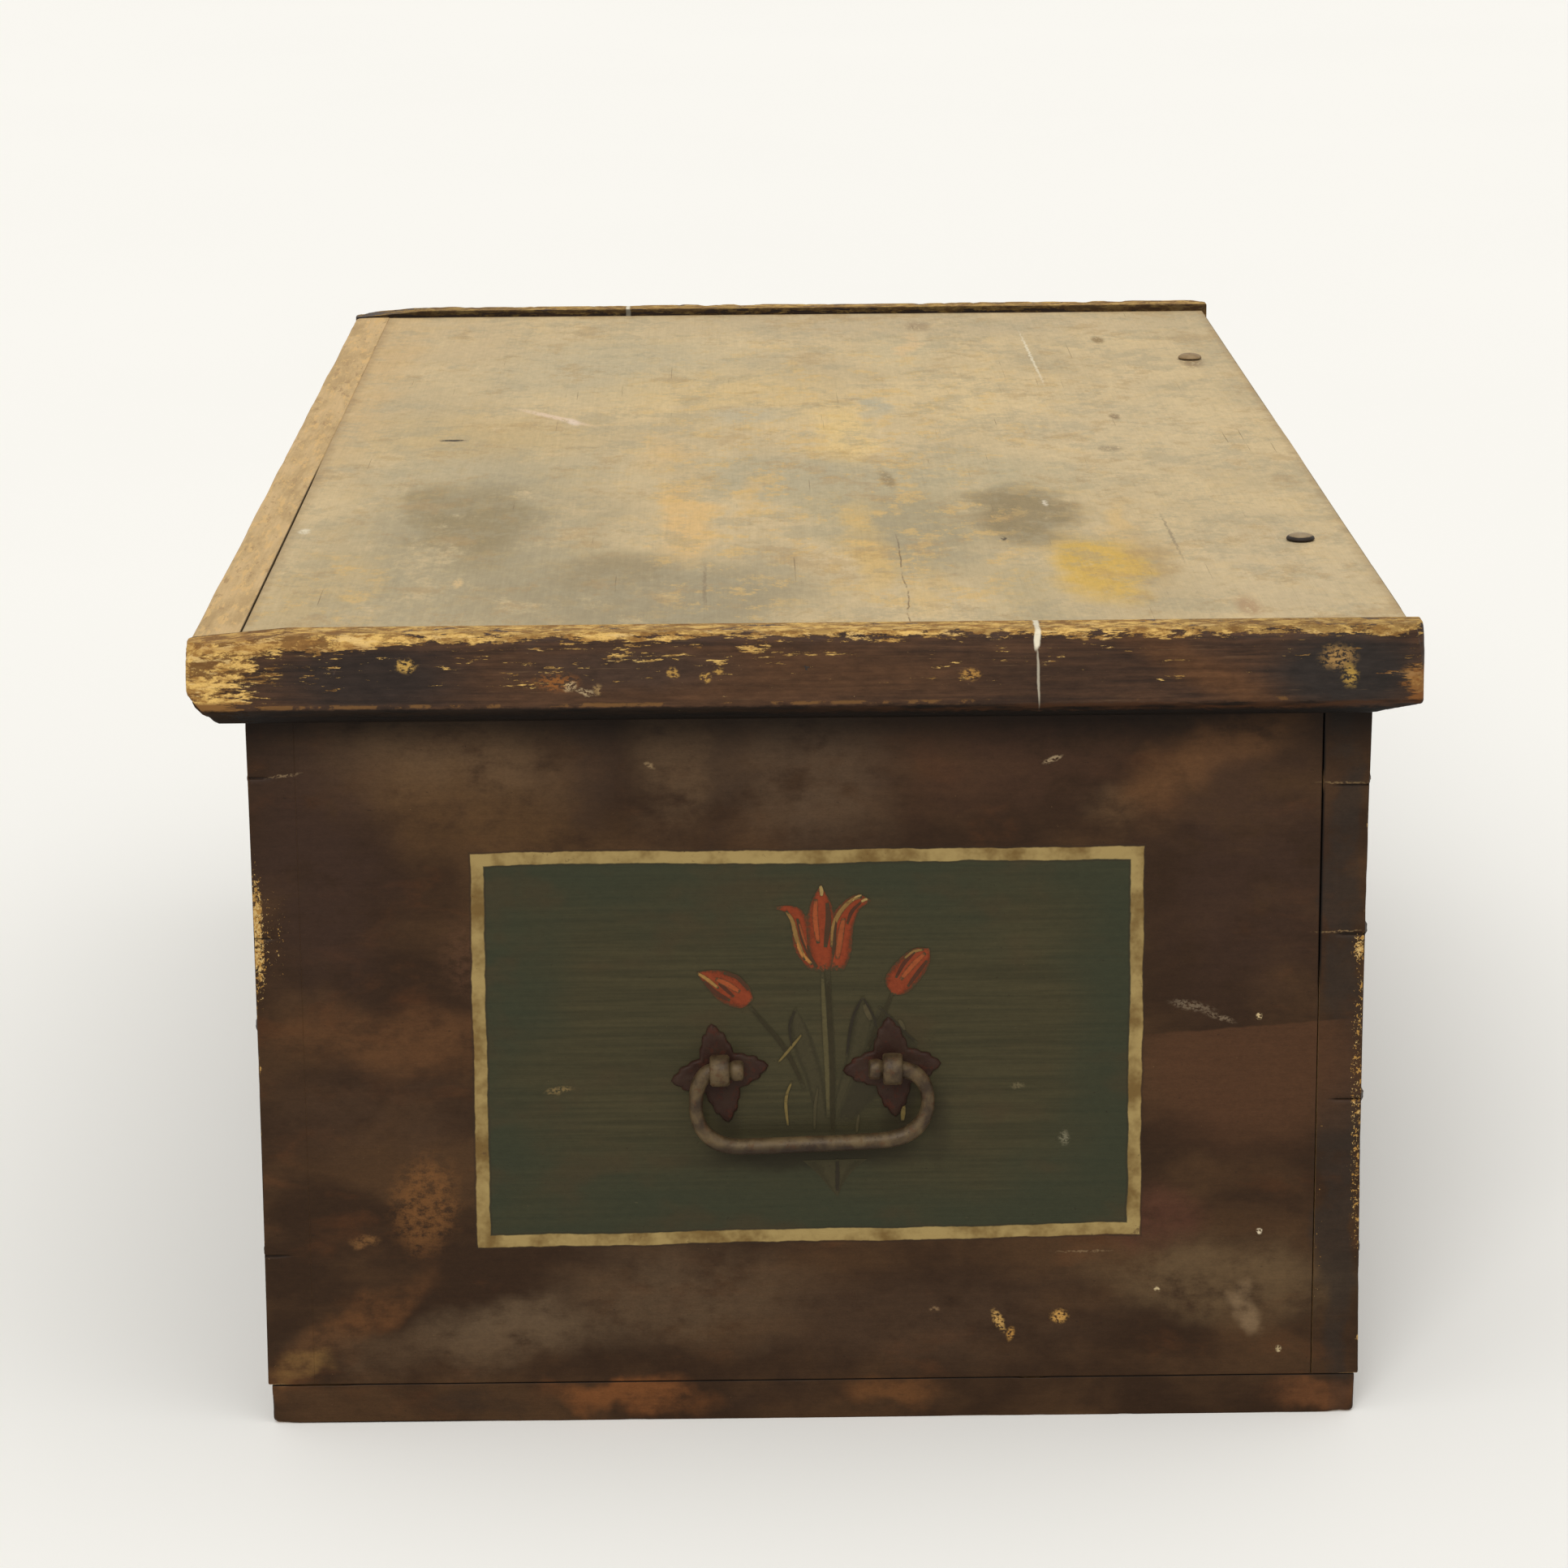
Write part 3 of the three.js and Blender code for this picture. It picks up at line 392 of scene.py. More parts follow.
def framed_field(coat, left, right, seed):
    """An ochre line drawn by hand round an olive field. It returns the line's mask."""
    u, v, _ = coat.split()
    by_hand = coat.noise(46, seed, 2).swing(1.5) + coat.noise(7, seed + 1, 2).swing(0.45)
    slope = (u - (left + right) / 2) * -FRAME_SLOPE
    inside = coat.least(u - left, right - u, v - FRAME_LOW + slope, FRAME_HIGH - v) + by_hand
    green = coat.blend(coat.noise((90, 3, 60), seed + 2, 4, 0.6).ramp(0.3, 0.7), (53, 49, 32), (64, 58, 38))
    rim = (inside + coat.noise((70, 50, 60), seed + 3, 3).swing(50)).ramp(60, 0)
    green = green.over(rim * 0.75, (47, 51, 37))
    green = green.over(coat.noise((50, 30, 60), seed + 4, 3).ramp(0.5, 0.7) * 0.5, (64, 52, 34))
    green = green.shaded(1 + coat.noise((3.4, 2.2, 3), seed + 9, 4, 0.7).swing(0.2))
    green = green.over(coat.noise((7, 1.4, 4), seed + 5).ramp(0.72, 0.8) * 0.35, (104, 94, 66))
    coat.lay(inside.ramp(0, 1), green)
    width = abs(inside) + coat.noise(9, seed + 6).swing(0.5)
    line = width.ramp(FRAME_BAND + 0.35, FRAME_BAND - 0.35)
    ochre = coat.blend(coat.noise(24, seed + 7, 4, 0.65).ramp(0.32, 0.62), (108, 84, 45), (154, 132, 83))
    ochre = ochre.over(coat.noise(12, seed + 8, 4, 0.7).ramp(0.36, 0.28) * 0.7, (84, 62, 38))
    coat.lay(abs(width - (FRAME_BAND + 0.5)).ramp(0.9, 0.2) * 0.4, (46, 36, 26))
    coat.lay(line * 0.95, ochre)
    return line


def flecks(coat, mask, size, seed, tone):
    """Small ragged chips, closer together where the mask is higher"""
    coat.lay((coat.noise(size, seed, 4, 0.7) - (0.9 - mask * 0.36)).ramp(0, 0.02), tone)


def paint_wear(coat, seed):
    """Chips down to the wood along the outer corners, small flecks, dirt in the grooves and painted shade"""
    chip = coat.noise(3.5, seed, 5, 0.7)
    bite = (coat.noise((30, 22, 30), seed + 1) - 0.62) * 14 + (chip - 0.5) * 9
    worn = (coat.attribute("edge") - bite).ramp(-0.3, -1.1)
    ochre = coat.blend(coat.noise(1.8, seed + 2, 4), WORN_WOOD, WORN_PALE)
    coat.lay(worn, ochre.shaded(0.55 + chip * 0.7))
    coat.lay(coat.noise(1.5, seed + 4, 2).ramp(0.76, 0.82) * 0.4, (128, 100, 68))
    coat.lay(coat.noise((2.6, 1.8, 2.6), seed + 5).ramp(0.7, 0.76) * 0.5, (34, 24, 18))
    # dirt in the splits and joints, and painted shade under the lid and in the open joint
    coat.lay(coat.attribute("dirt_and_shade"), (12, 8, 6))
    return worn


def painted(coat, worn, line, seed):
    """The paint finished: streaks in relief, with the worn places lower and the line higher"""
    streaks = coat.noise((40, 1.6, 40), seed + 1, 4, 0.65).swing(0.16)
    pores = coat.noise(0.9, seed + 2, 3, 0.6).swing(0.07)
    crust = coat.noise(4, seed + 3).swing(0.1)
    height = streaks + pores + crust + worn * -0.3 + line * 0.06
    rubbed = coat.noise((20, 12, 20), seed)
    return coat.finish(0.45 + rubbed.swing(0.16) + worn * 0.35, height, strength=0.55, specular=PAINT_SHEEN)


def end_paint(name, side):
    coat = Coat(name, ("y", "z", "x"), (side, 1, side), (0, MID_Y, 0))
    u, v, _ = coat.split()
    brown_paint(coat, END_STAINS, seed=1)
    # the block of lighter brown right of the frame ends in a crisp edge above
    crisp = (v + u * -0.07 + coat.noise(12, 20).swing(1.2)).ramp(193.2, 191.8)
    coat.lay(coat.spot((222, 190, 54, 44, 0, 0.35), coat.wobbled(26, 8, 21)) * crisp * 0.9, (73, 48, 30))
    coat.stain(END_BLOTCHES, coat.wobbled(9, 5, 22), coat.noise((5, 4, 4), 23, 5, 0.75).ramp(0.36, 0.6))
    coat.shade(grain(coat, along=60, across=1.4, seed=24))
    line = framed_field(coat, FRAME_LEFT, FRAME_RIGHT, seed=30)
    # the bail's painted shadow on the field
    coat.stain(BAIL_PAINTED_SHADOW, coat.wobbled(12, 4, 46))
    broken = coat.noise((1.7, 1.3, 1.5), 40, 3, 0.6).ramp(0.4, 0.56)
    coat.stain(END_PALE_MARKS, coat.wobbled(3, 1.4, 41), broken)
    flaking = coat.spots(END_FLAKING, coat.place)
    flecks(coat, flaking, size=(1.9, 2.4, 2), seed=44, tone=(160, 120, 60))
    flecks(coat, flaking * 0.9, size=(1.2, 1.5, 2), seed=45, tone=(190, 158, 100))
    return painted(coat, paint_wear(coat, seed=42), line, seed=50)


# The long front is guessed after the ends: two frames side by side
FRONT_FRAMES = (-252, 252)
FRAME_HALF_WIDTH = (FRAME_RIGHT - FRAME_LEFT) / 2


def long_paint(name, frames, seed, wear_seed, gloss_seed):
    """The paint of a long wall, with a framed field round each place along it"""
    coat = Coat(name, ("x", "z", "y"))
    brown_paint(coat, (), seed)
    coat.shade(grain(coat, along=120, across=1.8, seed=seed + 3))
    line = 0.0
    for count, middle in enumerate(frames):
        band = framed_field(coat, middle - FRAME_HALF_WIDTH, middle + FRAME_HALF_WIDTH, 70 + 20 * count)
        line = coat.most(band, line)
    return painted(coat, paint_wear(coat, wear_seed), line, gloss_seed)


def bare_wood(name, axes, tone, dark, seed):
    """Old unpainted softwood. The first axis is the grain's."""
    coat = Coat(name, axes)
    rings = coat.math("SINE", coat.noise((260, 7, 7), seed, 3, 0.5, 0.3) * 46)
    fibre = coat.noise((46, 0.9, 0.9), seed + 1, 4, 0.7)
    coat.base(0.5 + rings * 0.35, tone, dark)
    coat.shade(1 + fibre.swing(0.22))
    coat.lay(coat.noise((90, 40, 40), seed + 2).ramp(0.5, 0.75) * 0.35, (84, 64, 44))
    # dark in the joints, and painted shade in the open joint beside the end board
    coat.lay(coat.attribute("dirt_and_shade"), (30, 22, 15))
    return coat.finish(0.72 + fibre.swing(0.1), fibre.swing(0.12) + rings * 0.04, specular=0.2)


# The lid's top: places are the chest's own X and Y
LID_STAINS = (
    (-300, -110, 120, 80, 0, 0.7, (186, 171, 138), 0.8), (-480, 90, 60, 170, 0, 0.7, (187, 168, 134), 0.7),
    (-430, -230, 120, 60, 0, 0.7, (194, 171, 132), 0.7), (-350, 78, 70, 26, 0, 0.6, (196, 178, 140), 0.7),
    (-380, 84, 50, 6, 0, 0.6, (216, 182, 134), 0.6), (-170, 110, 130, 50, 0, 0.7, (212, 187, 140), 0.7),
    (-170, -30, 100, 70, 10, 0.7, (209, 181, 128), 0.7), (-140, 52, 40, 9, 0, 0.6, (174, 166, 142), 0.8),
    (-105, -28, 32, 28, 0, 0.6, (182, 170, 142), 0.8), (-20, 30, 110, 15, 0, 0.6, (220, 190, 130), 0.85),
    (40, -80, 60, 14, 0, 0.6, (206, 174, 122), 0.7), (-30, -190, 80, 70, 0, 0.7, (184, 160, 114), 0.6),
    (80, -145, 60, 50, 0, 0.7, (184, 168, 134), 0.7), (300, -180, 240, 70, 0, 0.5, (166, 152, 121), 0.9),
    (100, -205, 60, 40, 0, 0.7, (184, 168, 134), 0.6), (248, -178, 110, 30, 2, 0.5, (148, 132, 98), 1.0),
    (190, -208, 60, 11, 0, 0.5, (150, 134, 100), 0.8), (450, -80, 100, 84, 4, 0.45, (158, 144, 114), 1.0),
    (382, -100, 44, 30, 0, 0.5, (152, 136, 104), 0.85), (440, -250, 110, 26, 0, 0.6, (186, 164, 122), 0.8),
    (260, 60, 140, 36, 0, 0.5, (164, 150, 118), 0.95), (120, -10, 80, 60, 10, 0.5, (174, 162, 132), 0.8),
    (110, 100, 70, 60, 10, 0.7, (184, 169, 134), 0.8), (220, 20, 80, 22, 0, 0.6, (178, 163, 128), 0.8),
    (440, 110, 70, 22, 0, 0.6, (176, 160, 124), 0.7), (230, -64, 120, 15, 0, 0.5, (214, 178, 120), 0.9),
    (180, -30, 60, 9, 0, 0.5, (210, 178, 124), 0.7), (320, 34, 110, 12, 0, 0.5, (208, 175, 112), 0.8),
    (440, 62, 60, 9, 0, 0.5, (206, 176, 120), 0.6), (270, 172, 60, 8, 0, 0.5, (208, 176, 120), 0.7),
    (238, 122, 92, 28, 2, 0.4, (144, 127, 93), 1.0), (372, 184, 60, 13, 0, 0.6, (176, 150, 106), 0.85),
    (384, 155, 84, 26, 0, 0.35, (202, 166, 84), 1.0), (-40, 200, 150, 60, 0, 0.8, (206, 185, 146), 0.5),
    (-280, -276, 320, 26, 0, 0.7, (199, 169, 122), 0.8), (400, 250, 140, 40, 0, 0.7, (196, 176, 140), 0.7),
)
LID_MARKS = (
    (-22, -207, 3, 8, 3, 0.3, (58, 46, 34), 0.95), (303, 109, 5, 1.6, 0, 0.4, (66, 52, 38), 0.9),
    (-402, 213, 14, 4, 0, 0.5, (140, 116, 78), 0.9), (-88, 200, 10, 3, 0, 0.5, (140, 118, 88), 0.9),
    (26, 188, 9, 7, -20, 0.6, (150, 132, 102), 0.8), (120, 52, 26, 3.5, 4, 0.6, (138, 120, 88), 0.8),
    (-472, 92, 22, 9, 0, 0.6, (152, 130, 100), 0.7), (-34, 8, 9, 6, 0, 0.6, (168, 156, 128), 0.7),
    (-104, -148, 34, 4, 36, 0.6, (222, 196, 168), 0.9), (-86, -136, 12, 3, 10, 0.6, (226, 204, 182), 0.8),
    (-330, 163, 100, 0.9, 0.6, 0.5, (226, 214, 186), 0.8), (200, 138, 8, 1.6, 0, 0.5, (218, 206, 184), 0.8),
    (264, -272, 7, 3, 0, 0.5, (226, 214, 186), 0.9), (410, -180, 12, 2.4, 0, 0.5, (212, 182, 132), 0.8),
    (300, 200, 60, 0.8, 0.4, 0.5, (140, 124, 98), 0.7), (420, -52, 50, 0.9, 0, 0.5, (140, 124, 98), 0.8),
    (484, 222, 22, 6, 0, 0.6, (168, 134, 98), 0.7), (-300, 268, 20, 7, 0, 0.6, (124, 96, 66), 0.6),
)
# Where the crack from the near cleat starts along the lid, and its place across it
CRACK_START, CRACK_PLACE = 282, 51
# Where the lid's colour has been rubbed down to yellow wood, in ragged islands
LID_RUBBED = (
    (-60, 30, 320, 120, 0, 0.6, 0.7), (300, -40, 240, 40, 0, 0.5, 1.0), (330, 60, 200, 50, 0, 0.6, 0.9),
    (440, -250, 110, 34, 0, 0.5, 0.8),
)


def lid_top(name):
    coat = Coat(name, middle=(0, MID_Y, 0))
    u, v, _ = coat.split()
    mottle = coat.noise((130, 90, 60), 141, 6, 0.65, 0.3)
    coat.base(mottle.ramp(0.3, 0.68), (186, 166, 128), (206, 183, 141))
    drift = coat.wobbled(44, 24, 142)
    coat.stain(LID_STAINS, drift, coat.noise((56, 36, 16), 143, 8, 0.78).ramp(0.31, 0.48))
    islands = coat.noise((34, 26, 20), 144, 9, 0.8).ramp(0.52, 0.58)
    rag = islands * coat.least(coat.spots(LID_RUBBED, drift, 0.2), 1.0) * 0.6
    coat.lay(rag, (212, 177, 115))
    coat.lay(coat.noise((46, 40, 20), 146, 9, 0.8).ramp(0.5, 0.58) * 0.45, (163, 151, 123))
    coat.lay(coat.noise((52, 44, 20), 158, 9, 0.8).ramp(0.53, 0.6) * 0.4, (170, 140, 96))
    fibre = coat.noise((60, 1.3, 20), 147, 5, 0.7)
    boards, crumbs = coat.noise((400, 14, 40), 148), coat.noise((11, 5, 6), 156, 5, 0.75)
    coat.shade(1 + fibre.swing(0.13) + boards.swing(0.05) + crumbs.swing(0.24))
    coat.stain(LID_MARKS, coat.wobbled(6, 1.6, 149), coat.noise((6, 2.4, 4), 157, 3, 0.6).ramp(0.3, 0.5))
    coat.lay(coat.noise((2.4, 1.3, 2), 150, 2).ramp(0.72, 0.79) * 0.5, (112, 92, 66))
    # the long crack from the near cleat wanders, and finer ones lie beside it
    sway = coat.noise((70, 400, 400), 151, 2).swing(3.5) + coat.noise((9, 90, 90), 152, 2).swing(0.8)
    crack = abs(v - CRACK_PLACE + sway).ramp(0.6, 0.2) * u.ramp(CRACK_START - 8, CRACK_START + 40)
    crack = crack * coat.noise((14, 30, 30), 159).ramp(0.3, 0.5)
    checks = coat.noise((130, 1.5, 40), 153, 3, 0.5).ramp(0.72, 0.76)
    dark = coat.most(crack * 0.7, checks * 0.6)
    coat.lay(dark * 0.85, (98, 76, 52))
    soil = (coat.attribute("edge") + coat.noise(9, 154, 4).swing(5)).ramp(8, -2)
    coat.lay(soil * 0.5, (140, 112, 74))
    coat.lay(coat.attribute("dirt_and_shade"), (36, 27, 18))
    height = fibre.swing(0.2) + dark * -0.7 + rag * -0.15 + coat.noise(3, 155).swing(0.07)
    return coat.finish(0.62 + mottle.swing(0.12) + rag * 0.12, height, specular=0.08)


def batten_wood(name):
    coat = Coat(name)
    mottle = coat.noise((60, 12, 14), 161, 6, 0.7)
    coat.base(mottle.ramp(0.34, 0.64), (176, 146, 98), (203, 172, 124))
    coat.lay(coat.noise((26, 5, 8), 162, 6, 0.72).ramp(0.52, 0.6) * 0.7, (214, 176, 116))
    coat.lay(coat.noise((22, 4.5, 8), 168, 6, 0.75).ramp(0.56, 0.63) * 0.6, (150, 118, 76))
    fibre = coat.noise((60, 1.2, 1.2), 163, 4, 0.7)
    coat.shade(1 + fibre.swing(0.18))
    # paint is left on the face that looks forward
    low = (coat.split()[2] + coat.noise((40, 9, 9), 164, 5, 0.65).swing(6)).ramp(403, 398)
    coat.lay(low, coat.blend(coat.noise((50, 20, 20), 165).ramp(0.4, 0.7), PAINT_DARK, PAINT_BROWN))
    coat.lay(coat.noise(1.6, 166, 2).ramp(0.74, 0.8) * 0.5, (96, 74, 48))
    coat.lay(coat.attribute("dirt_and_shade"), (36, 26, 18))
    height = fibre.swing(0.2) + low * 0.15 + coat.noise(3, 167).swing(0.1)
    return coat.finish(0.6 + mottle.swing(0.1), height, specular=0.1)


# The cleat's face: u along it as seen from outside, v the height
CLEAT_STAINS = (
    (-40, 398, 130, 14, 0, 0.6, (80, 54, 34), 0.7), (-215, 399, 44, 16, 0, 0.5, (42, 34, 30), 0.9),
    (-90, 402, 50, 10, 0, 0.5, (60, 45, 36), 0.8), (196, 397, 44, 8, -27, 0.8, (98, 64, 36), 0.5),
    (120, 396, 40, 12, 0, 0.8, (56, 39, 28), 0.6), (262, 398, 36, 18, 0, 0.45, (40, 35, 32), 0.95),
)
CLEAT_MARKS = (
    (-124, 396, 9, 4, 0, 0.6, (134, 84, 40), 0.9), (258, 405, 7, 5, 0, 0.7, (168, 130, 76), 0.8),
    (264, 396, 3.4, 5, 0, 0.6, (176, 140, 66), 0.85), (-117, 394, 3, 2, 20, 0.5, (176, 154, 116), 0.85),
    (-110, 391, 4, 1.6, -20, 0.5, (170, 148, 112), 0.85), (-104, 392.5, 2, 2.4, 0, 0.5, (150, 122, 80), 0.8),
    (-197, 405, 4.5, 3.2, 0, 0.4, (186, 148, 76), 0.9), (-67, 400, 2.6, 2.6, 0, 0.4, (180, 140, 70), 0.8),
    (-51, 398, 2.4, 2.4, 0, 0.4, (180, 140, 70), 0.8), (-45, 401, 2.4, 2.0, 0, 0.4, (180, 140, 70), 0.8),
    (78, 398, 4.2, 2.8, 0, 0.4, (172, 128, 64), 0.8),
)


def cleat_worn(coat, u, v, flakes, fine):
    """Where the paint is gone: along the arris, at both ends, in a line low down and in flakes"""
    ragged = flakes.swing(15) + fine.swing(4)
    arris = (v + ragged + u.ramp(-195, -225) * 4).ramp(416.6, 417.8)
    broken = (coat.noise((26, 20, 20), 175, 5, 0.7) + u * -0.0003).ramp(0.5, 0.56)
    line = abs(v - 384.6 + ragged * 0.1).ramp(1.3, 0.5) * broken * 0.6
    front = (u + v * -0.35 + flakes.swing(60) + fine.swing(14)).ramp(-410, -415)
    back = (u + ragged * 1.3 + v * 0.3).ramp(408, 412) * (v + ragged).ramp(401, 398)
    thin = v.ramp(386, 404) * coat.noise((70, 30, 30), 176, 2).ramp(0.36, 0.6)
    return coat.most(arris, line, front, back, (flakes + thin * 0.07).ramp(0.655, 0.67)), ragged


def cleat_ochre(coat, u, v, ragged, soil, side):
    """The wood laid bare is golden, dirty in clouds and pale where it was rubbed"""
    ochre = coat.blend(soil.ramp(0.4, 0.58), (148, 109, 56), (215, 176, 102))
    brown = coat.noise((13, 5.5, 7), 178, 7, 0.76).ramp(0.48, 0.54) * (0.56 + u.ramp(-190, -250) * 0.36)
    ochre = ochre.over(brown, (102, 70, 38))
    ochre = ochre.over(coat.noise((18, 4, 5), 187, 6, 0.75).ramp(0.55, 0.62) * 0.75, (214, 180, 118))
    fringe = (v + ragged).ramp(420, 416) * v.ramp(411, 414)
    ochre = ochre.over(fringe * 0.4, (150, 108, 58)).over(v.ramp(388, 386), (124, 88, 48))
    ochre = ochre.over(u.ramp(270, 280) * v.ramp(405, 400) * 0.7, (132, 82, 42))
    return ochre.shaded((1.0 if side > 0 else 0.8) + u.ramp(140, 250) * -0.2)


def cleat_paint(name, side):
    coat = Coat(name, ("y", "z", "x"), (side, 1, side), (0, MID_Y, 0))
    u, v, _ = coat.split()
    streaks = coat.noise((60, 3, 20), 171, 4, 0.6)
    coat.base(streaks.ramp(0.3, 0.7), (48, 34, 26), (74, 51, 35))
    coat.stain(CLEAT_STAINS, coat.wobbled(16, 5, 172))
    coat.shade(1 + coat.noise((9, 3.4, 5), 189, 5, 0.75).swing(0.7) + streaks.swing(0.3))
    coat.lay(coat.noise((26, 0.9, 8), 184, 3, 0.6).ramp(0.66, 0.72) * 0.3, (116, 92, 66))
    broken = coat.noise((2.6, 1.5, 2), 185, 4, 0.7).ramp(0.44, 0.54)
    coat.stain(CLEAT_MARKS, coat.wobbled(4, 2.6, 186), broken)
    flakes, fine = coat.noise((20, 3.2, 9), 173, 7, 0.75), coat.noise((5, 2.4, 3), 174, 4, 0.7)
    worn, ragged = cleat_worn(coat, u, v, flakes, fine)
    soil = coat.noise((11, 5, 6), 177, 6, 0.75)
    coat.lay(worn, cleat_ochre(coat, u, v, ragged, soil, side))
    # the bevel below is painted in shade: warm dark brown along its upper edge, near black lower down
    bevel_shadow = coat.most((v + fine.swing(3)).ramp(381, 378), coat.noise((30, 6, 6), 179, 4).ramp(0.4, 0.7))
    warm = coat.blend(u.ramp(-80, 160), (28, 18, 10), (64, 38, 19))
    coat.lay((v + fine.swing(1.5)).ramp(384, 382.4) * 0.95, warm.over(bevel_shadow, (9, 6, 4)))
    drip = coat.spot((111, 416.5, 1.6, 6, -4, 0.3), coat.wobbled(5, 0.8, 181))
    thread = coat.spot((111.5, 397, 0.6, 14, 2, 0.4), coat.wobbled(8, 0.5, 182)) * 0.45
    coat.lay(coat.most(drip, thread), (222, 212, 188))
    coat.lay(coat.noise(1.6, 183, 2).ramp(0.72, 0.78) * worn * 0.7, (70, 48, 28))
    coat.lay(coat.noise((2.0, 1.2, 1.4), 188, 2).ramp(0.78, 0.83) * 0.7, (190, 160, 112))
    coat.lay(coat.attribute("dirt_and_shade"), (20, 14, 10))
    height = flakes.swing(0.2) + worn * -0.3 + fine.swing(0.1) + streaks.swing(0.1)
    return coat.finish(0.5 + worn * 0.25 + soil.swing(0.08), height, strength=0.6, specular=0.12)


def iron(name, tone, rubbed, rust, seed, metallic=0.35, specular=0.4, grip=None):
    """Wrought iron: hammered, dark, rubbed bright in places and rusty in others. Grip is the height
    of a rod's middle, with painted shade below it and a painted highlight above it."""
    coat = Coat(name)
    blotch = coat.noise(9, seed, 4, 0.6)
    coat.base(blotch.ramp(0.35, 0.65), tone, rubbed)
    rusty = coat.noise(4, seed + 1, 4, 0.65).ramp(0.52, 0.68)
    coat.lay(rusty * 0.6, rust)
    if grip is not None:
        # painted shade on the rod's underside below its middle, and a painted highlight along its top
        up = coat.split()[2] + coat.noise(12, seed + 5).swing(1.6)
        coat.lay(up.ramp(grip + 2, grip - 2) * 0.75, (38, 27, 18))
        coat.lay(up.ramp(grip, grip + 3) * up.ramp(grip + 12, grip + 5) * 0.2, (114, 95, 64))
    pits = coat.noise(1.1, seed + 2, 3, 0.6).ramp(0.64, 0.72)
    coat.lay(pits * 0.6, (26, 20, 17))
    height = coat.noise(5, seed + 3, 1).swing(0.3) + pits * -0.25 + coat.noise(0.7, seed + 4).swing(0.06)
    return coat.finish(0.5 + blotch.swing(0.2) + rusty * 0.15, height, metallic=metallic, specular=specular)


def rivet_iron(name, brown, tan, start):
    """Black iron, with the lid's colour rubbed on it above a height"""
    coat = Coat(name)
    coat.base(coat.noise(3, 202, 4), (26, 21, 18), (48, 38, 30))
    crown = (coat.split()[2] + coat.noise(4, 201).swing(0.5)).ramp(start, start + 0.6)
    coat.lay(crown * 0.9, coat.blend(coat.noise(4, 203, 4), brown, tan))
    height = coat.noise(3, 204, 2).swing(0.2) + coat.noise(0.8, 205).swing(0.06)
    return coat.finish(0.6 + coat.noise(3, 206).swing(0.2), height, metallic=0.2)


def brush_paint(name):
    """A stroke of the tulips: its own colour, darker and thinner at its sides"""
    coat = Coat(name)
    hairs = coat.noise(1.4, 211, 3, 0.7)
    coat.colour = coat.attribute("stroke", "Color")
    coat.shade(1 + coat.noise(2.2, 212, 4, 0.6).swing(0.34))
    from_middle = abs(coat.attribute("across")) + hairs.swing(0.36)
    coat.lay(from_middle.ramp(0.4, 0.9) * coat.attribute("rim"), coat.colour.shaded(0.45))
    ends = (coat.attribute("along") + hairs.swing(0.3)).ramp(0.0, 0.2)
    cover = from_middle.ramp(1.1, 0.66) * ends * coat.attribute("cover")
    field = coat.blend(coat.noise((6, 90, 3), 213, 4), (54, 50, 33), (61, 55, 37))
    coat.colour = field.over(cover, coat.colour)
    coat.lay(coat.noise((3, 3, 1.2), 214, 4, 0.6).ramp(0.58, 0.68) * 0.35, (48, 40, 28))
    height = hairs.swing(0.06) + cover * 0.05
    return coat.finish(0.45 + hairs.swing(0.1), height, strength=0.4, specular=PAINT_SHEEN)


def floor_finish():
    coat = Coat("floor")
    coat.base(0, FLOOR_COLOUR, FLOOR_COLOUR)
    coat.shade(1 + coat.noise(900, 221, 2).swing(0.01))
    return coat.finish(0.85, coat.noise(6, 222).swing(0.02), strength=0.1, specular=0.1)


# Shapes

def corner_values(corner, seed):
    """A fixed number from -1 to 1 for each whole-numbered corner"""
    x, y, z = corner.T
    mixed = (x * 73856093) ^ (y * 19349663) ^ (z * 83492791) ^ (seed * 961748941)
    mixed = (mixed ^ (mixed >> 13)) & 0x7FFFFFFF
    mixed = (mixed * 1274126177) & 0x7FFFFFFF
    mixed = mixed ^ (mixed >> 15)
    return (mixed & 0xFFFF) / 32767.5 - 1


def smoothed(share):
    return share * share * (3 - 2 * share)


def smooth_step(value, start, end):
    return smoothed(np.clip((value - start) / (end - start), 0, 1))


def bump(value, middle, half):
    """1 at the middle, falling smoothly to 0 at half each side"""
    return smooth_step(-np.abs(value - middle), -half, 0)


def relief(points, size, seed, octaves=2):
    """Smooth noise at each point, round 0 and mostly within 1, the same each time"""
    total = np.zeros(len(points))
    for octave in range(octaves):
        scaled = points / (np.array(size, float) / 2**octave) + 1000
        base = np.floor(scaled).astype(np.int64)
        share = smoothed(scaled - base)
        for corner in np.ndindex(2, 2, 2):
            weight = np.prod(np.where(corner, share, 1 - share), axis=1)
            total += weight * corner_values(base + corner, seed + octave) / 2**octave
    return total


EDGE_LINES = np.array([0, 0.5, 1.2, 2.2, 4, 7])


def grid_lines(low, high, step, extra=()):
    """Places from low to high, closer together near both ends, with the extra ones added"""
    near = EDGE_LINES[EDGE_LINES < (high - low) / 2 - 1]
    start, end = low + near[-1], high - near[-1]
    middle = np.linspace(start, end, max(1, round((end - start) / step)) + 1)
    lines = np.concatenate([low + near[:-1], middle, high - near[:-1], list(extra)])
    return np.unique(np.round(lines, 3))


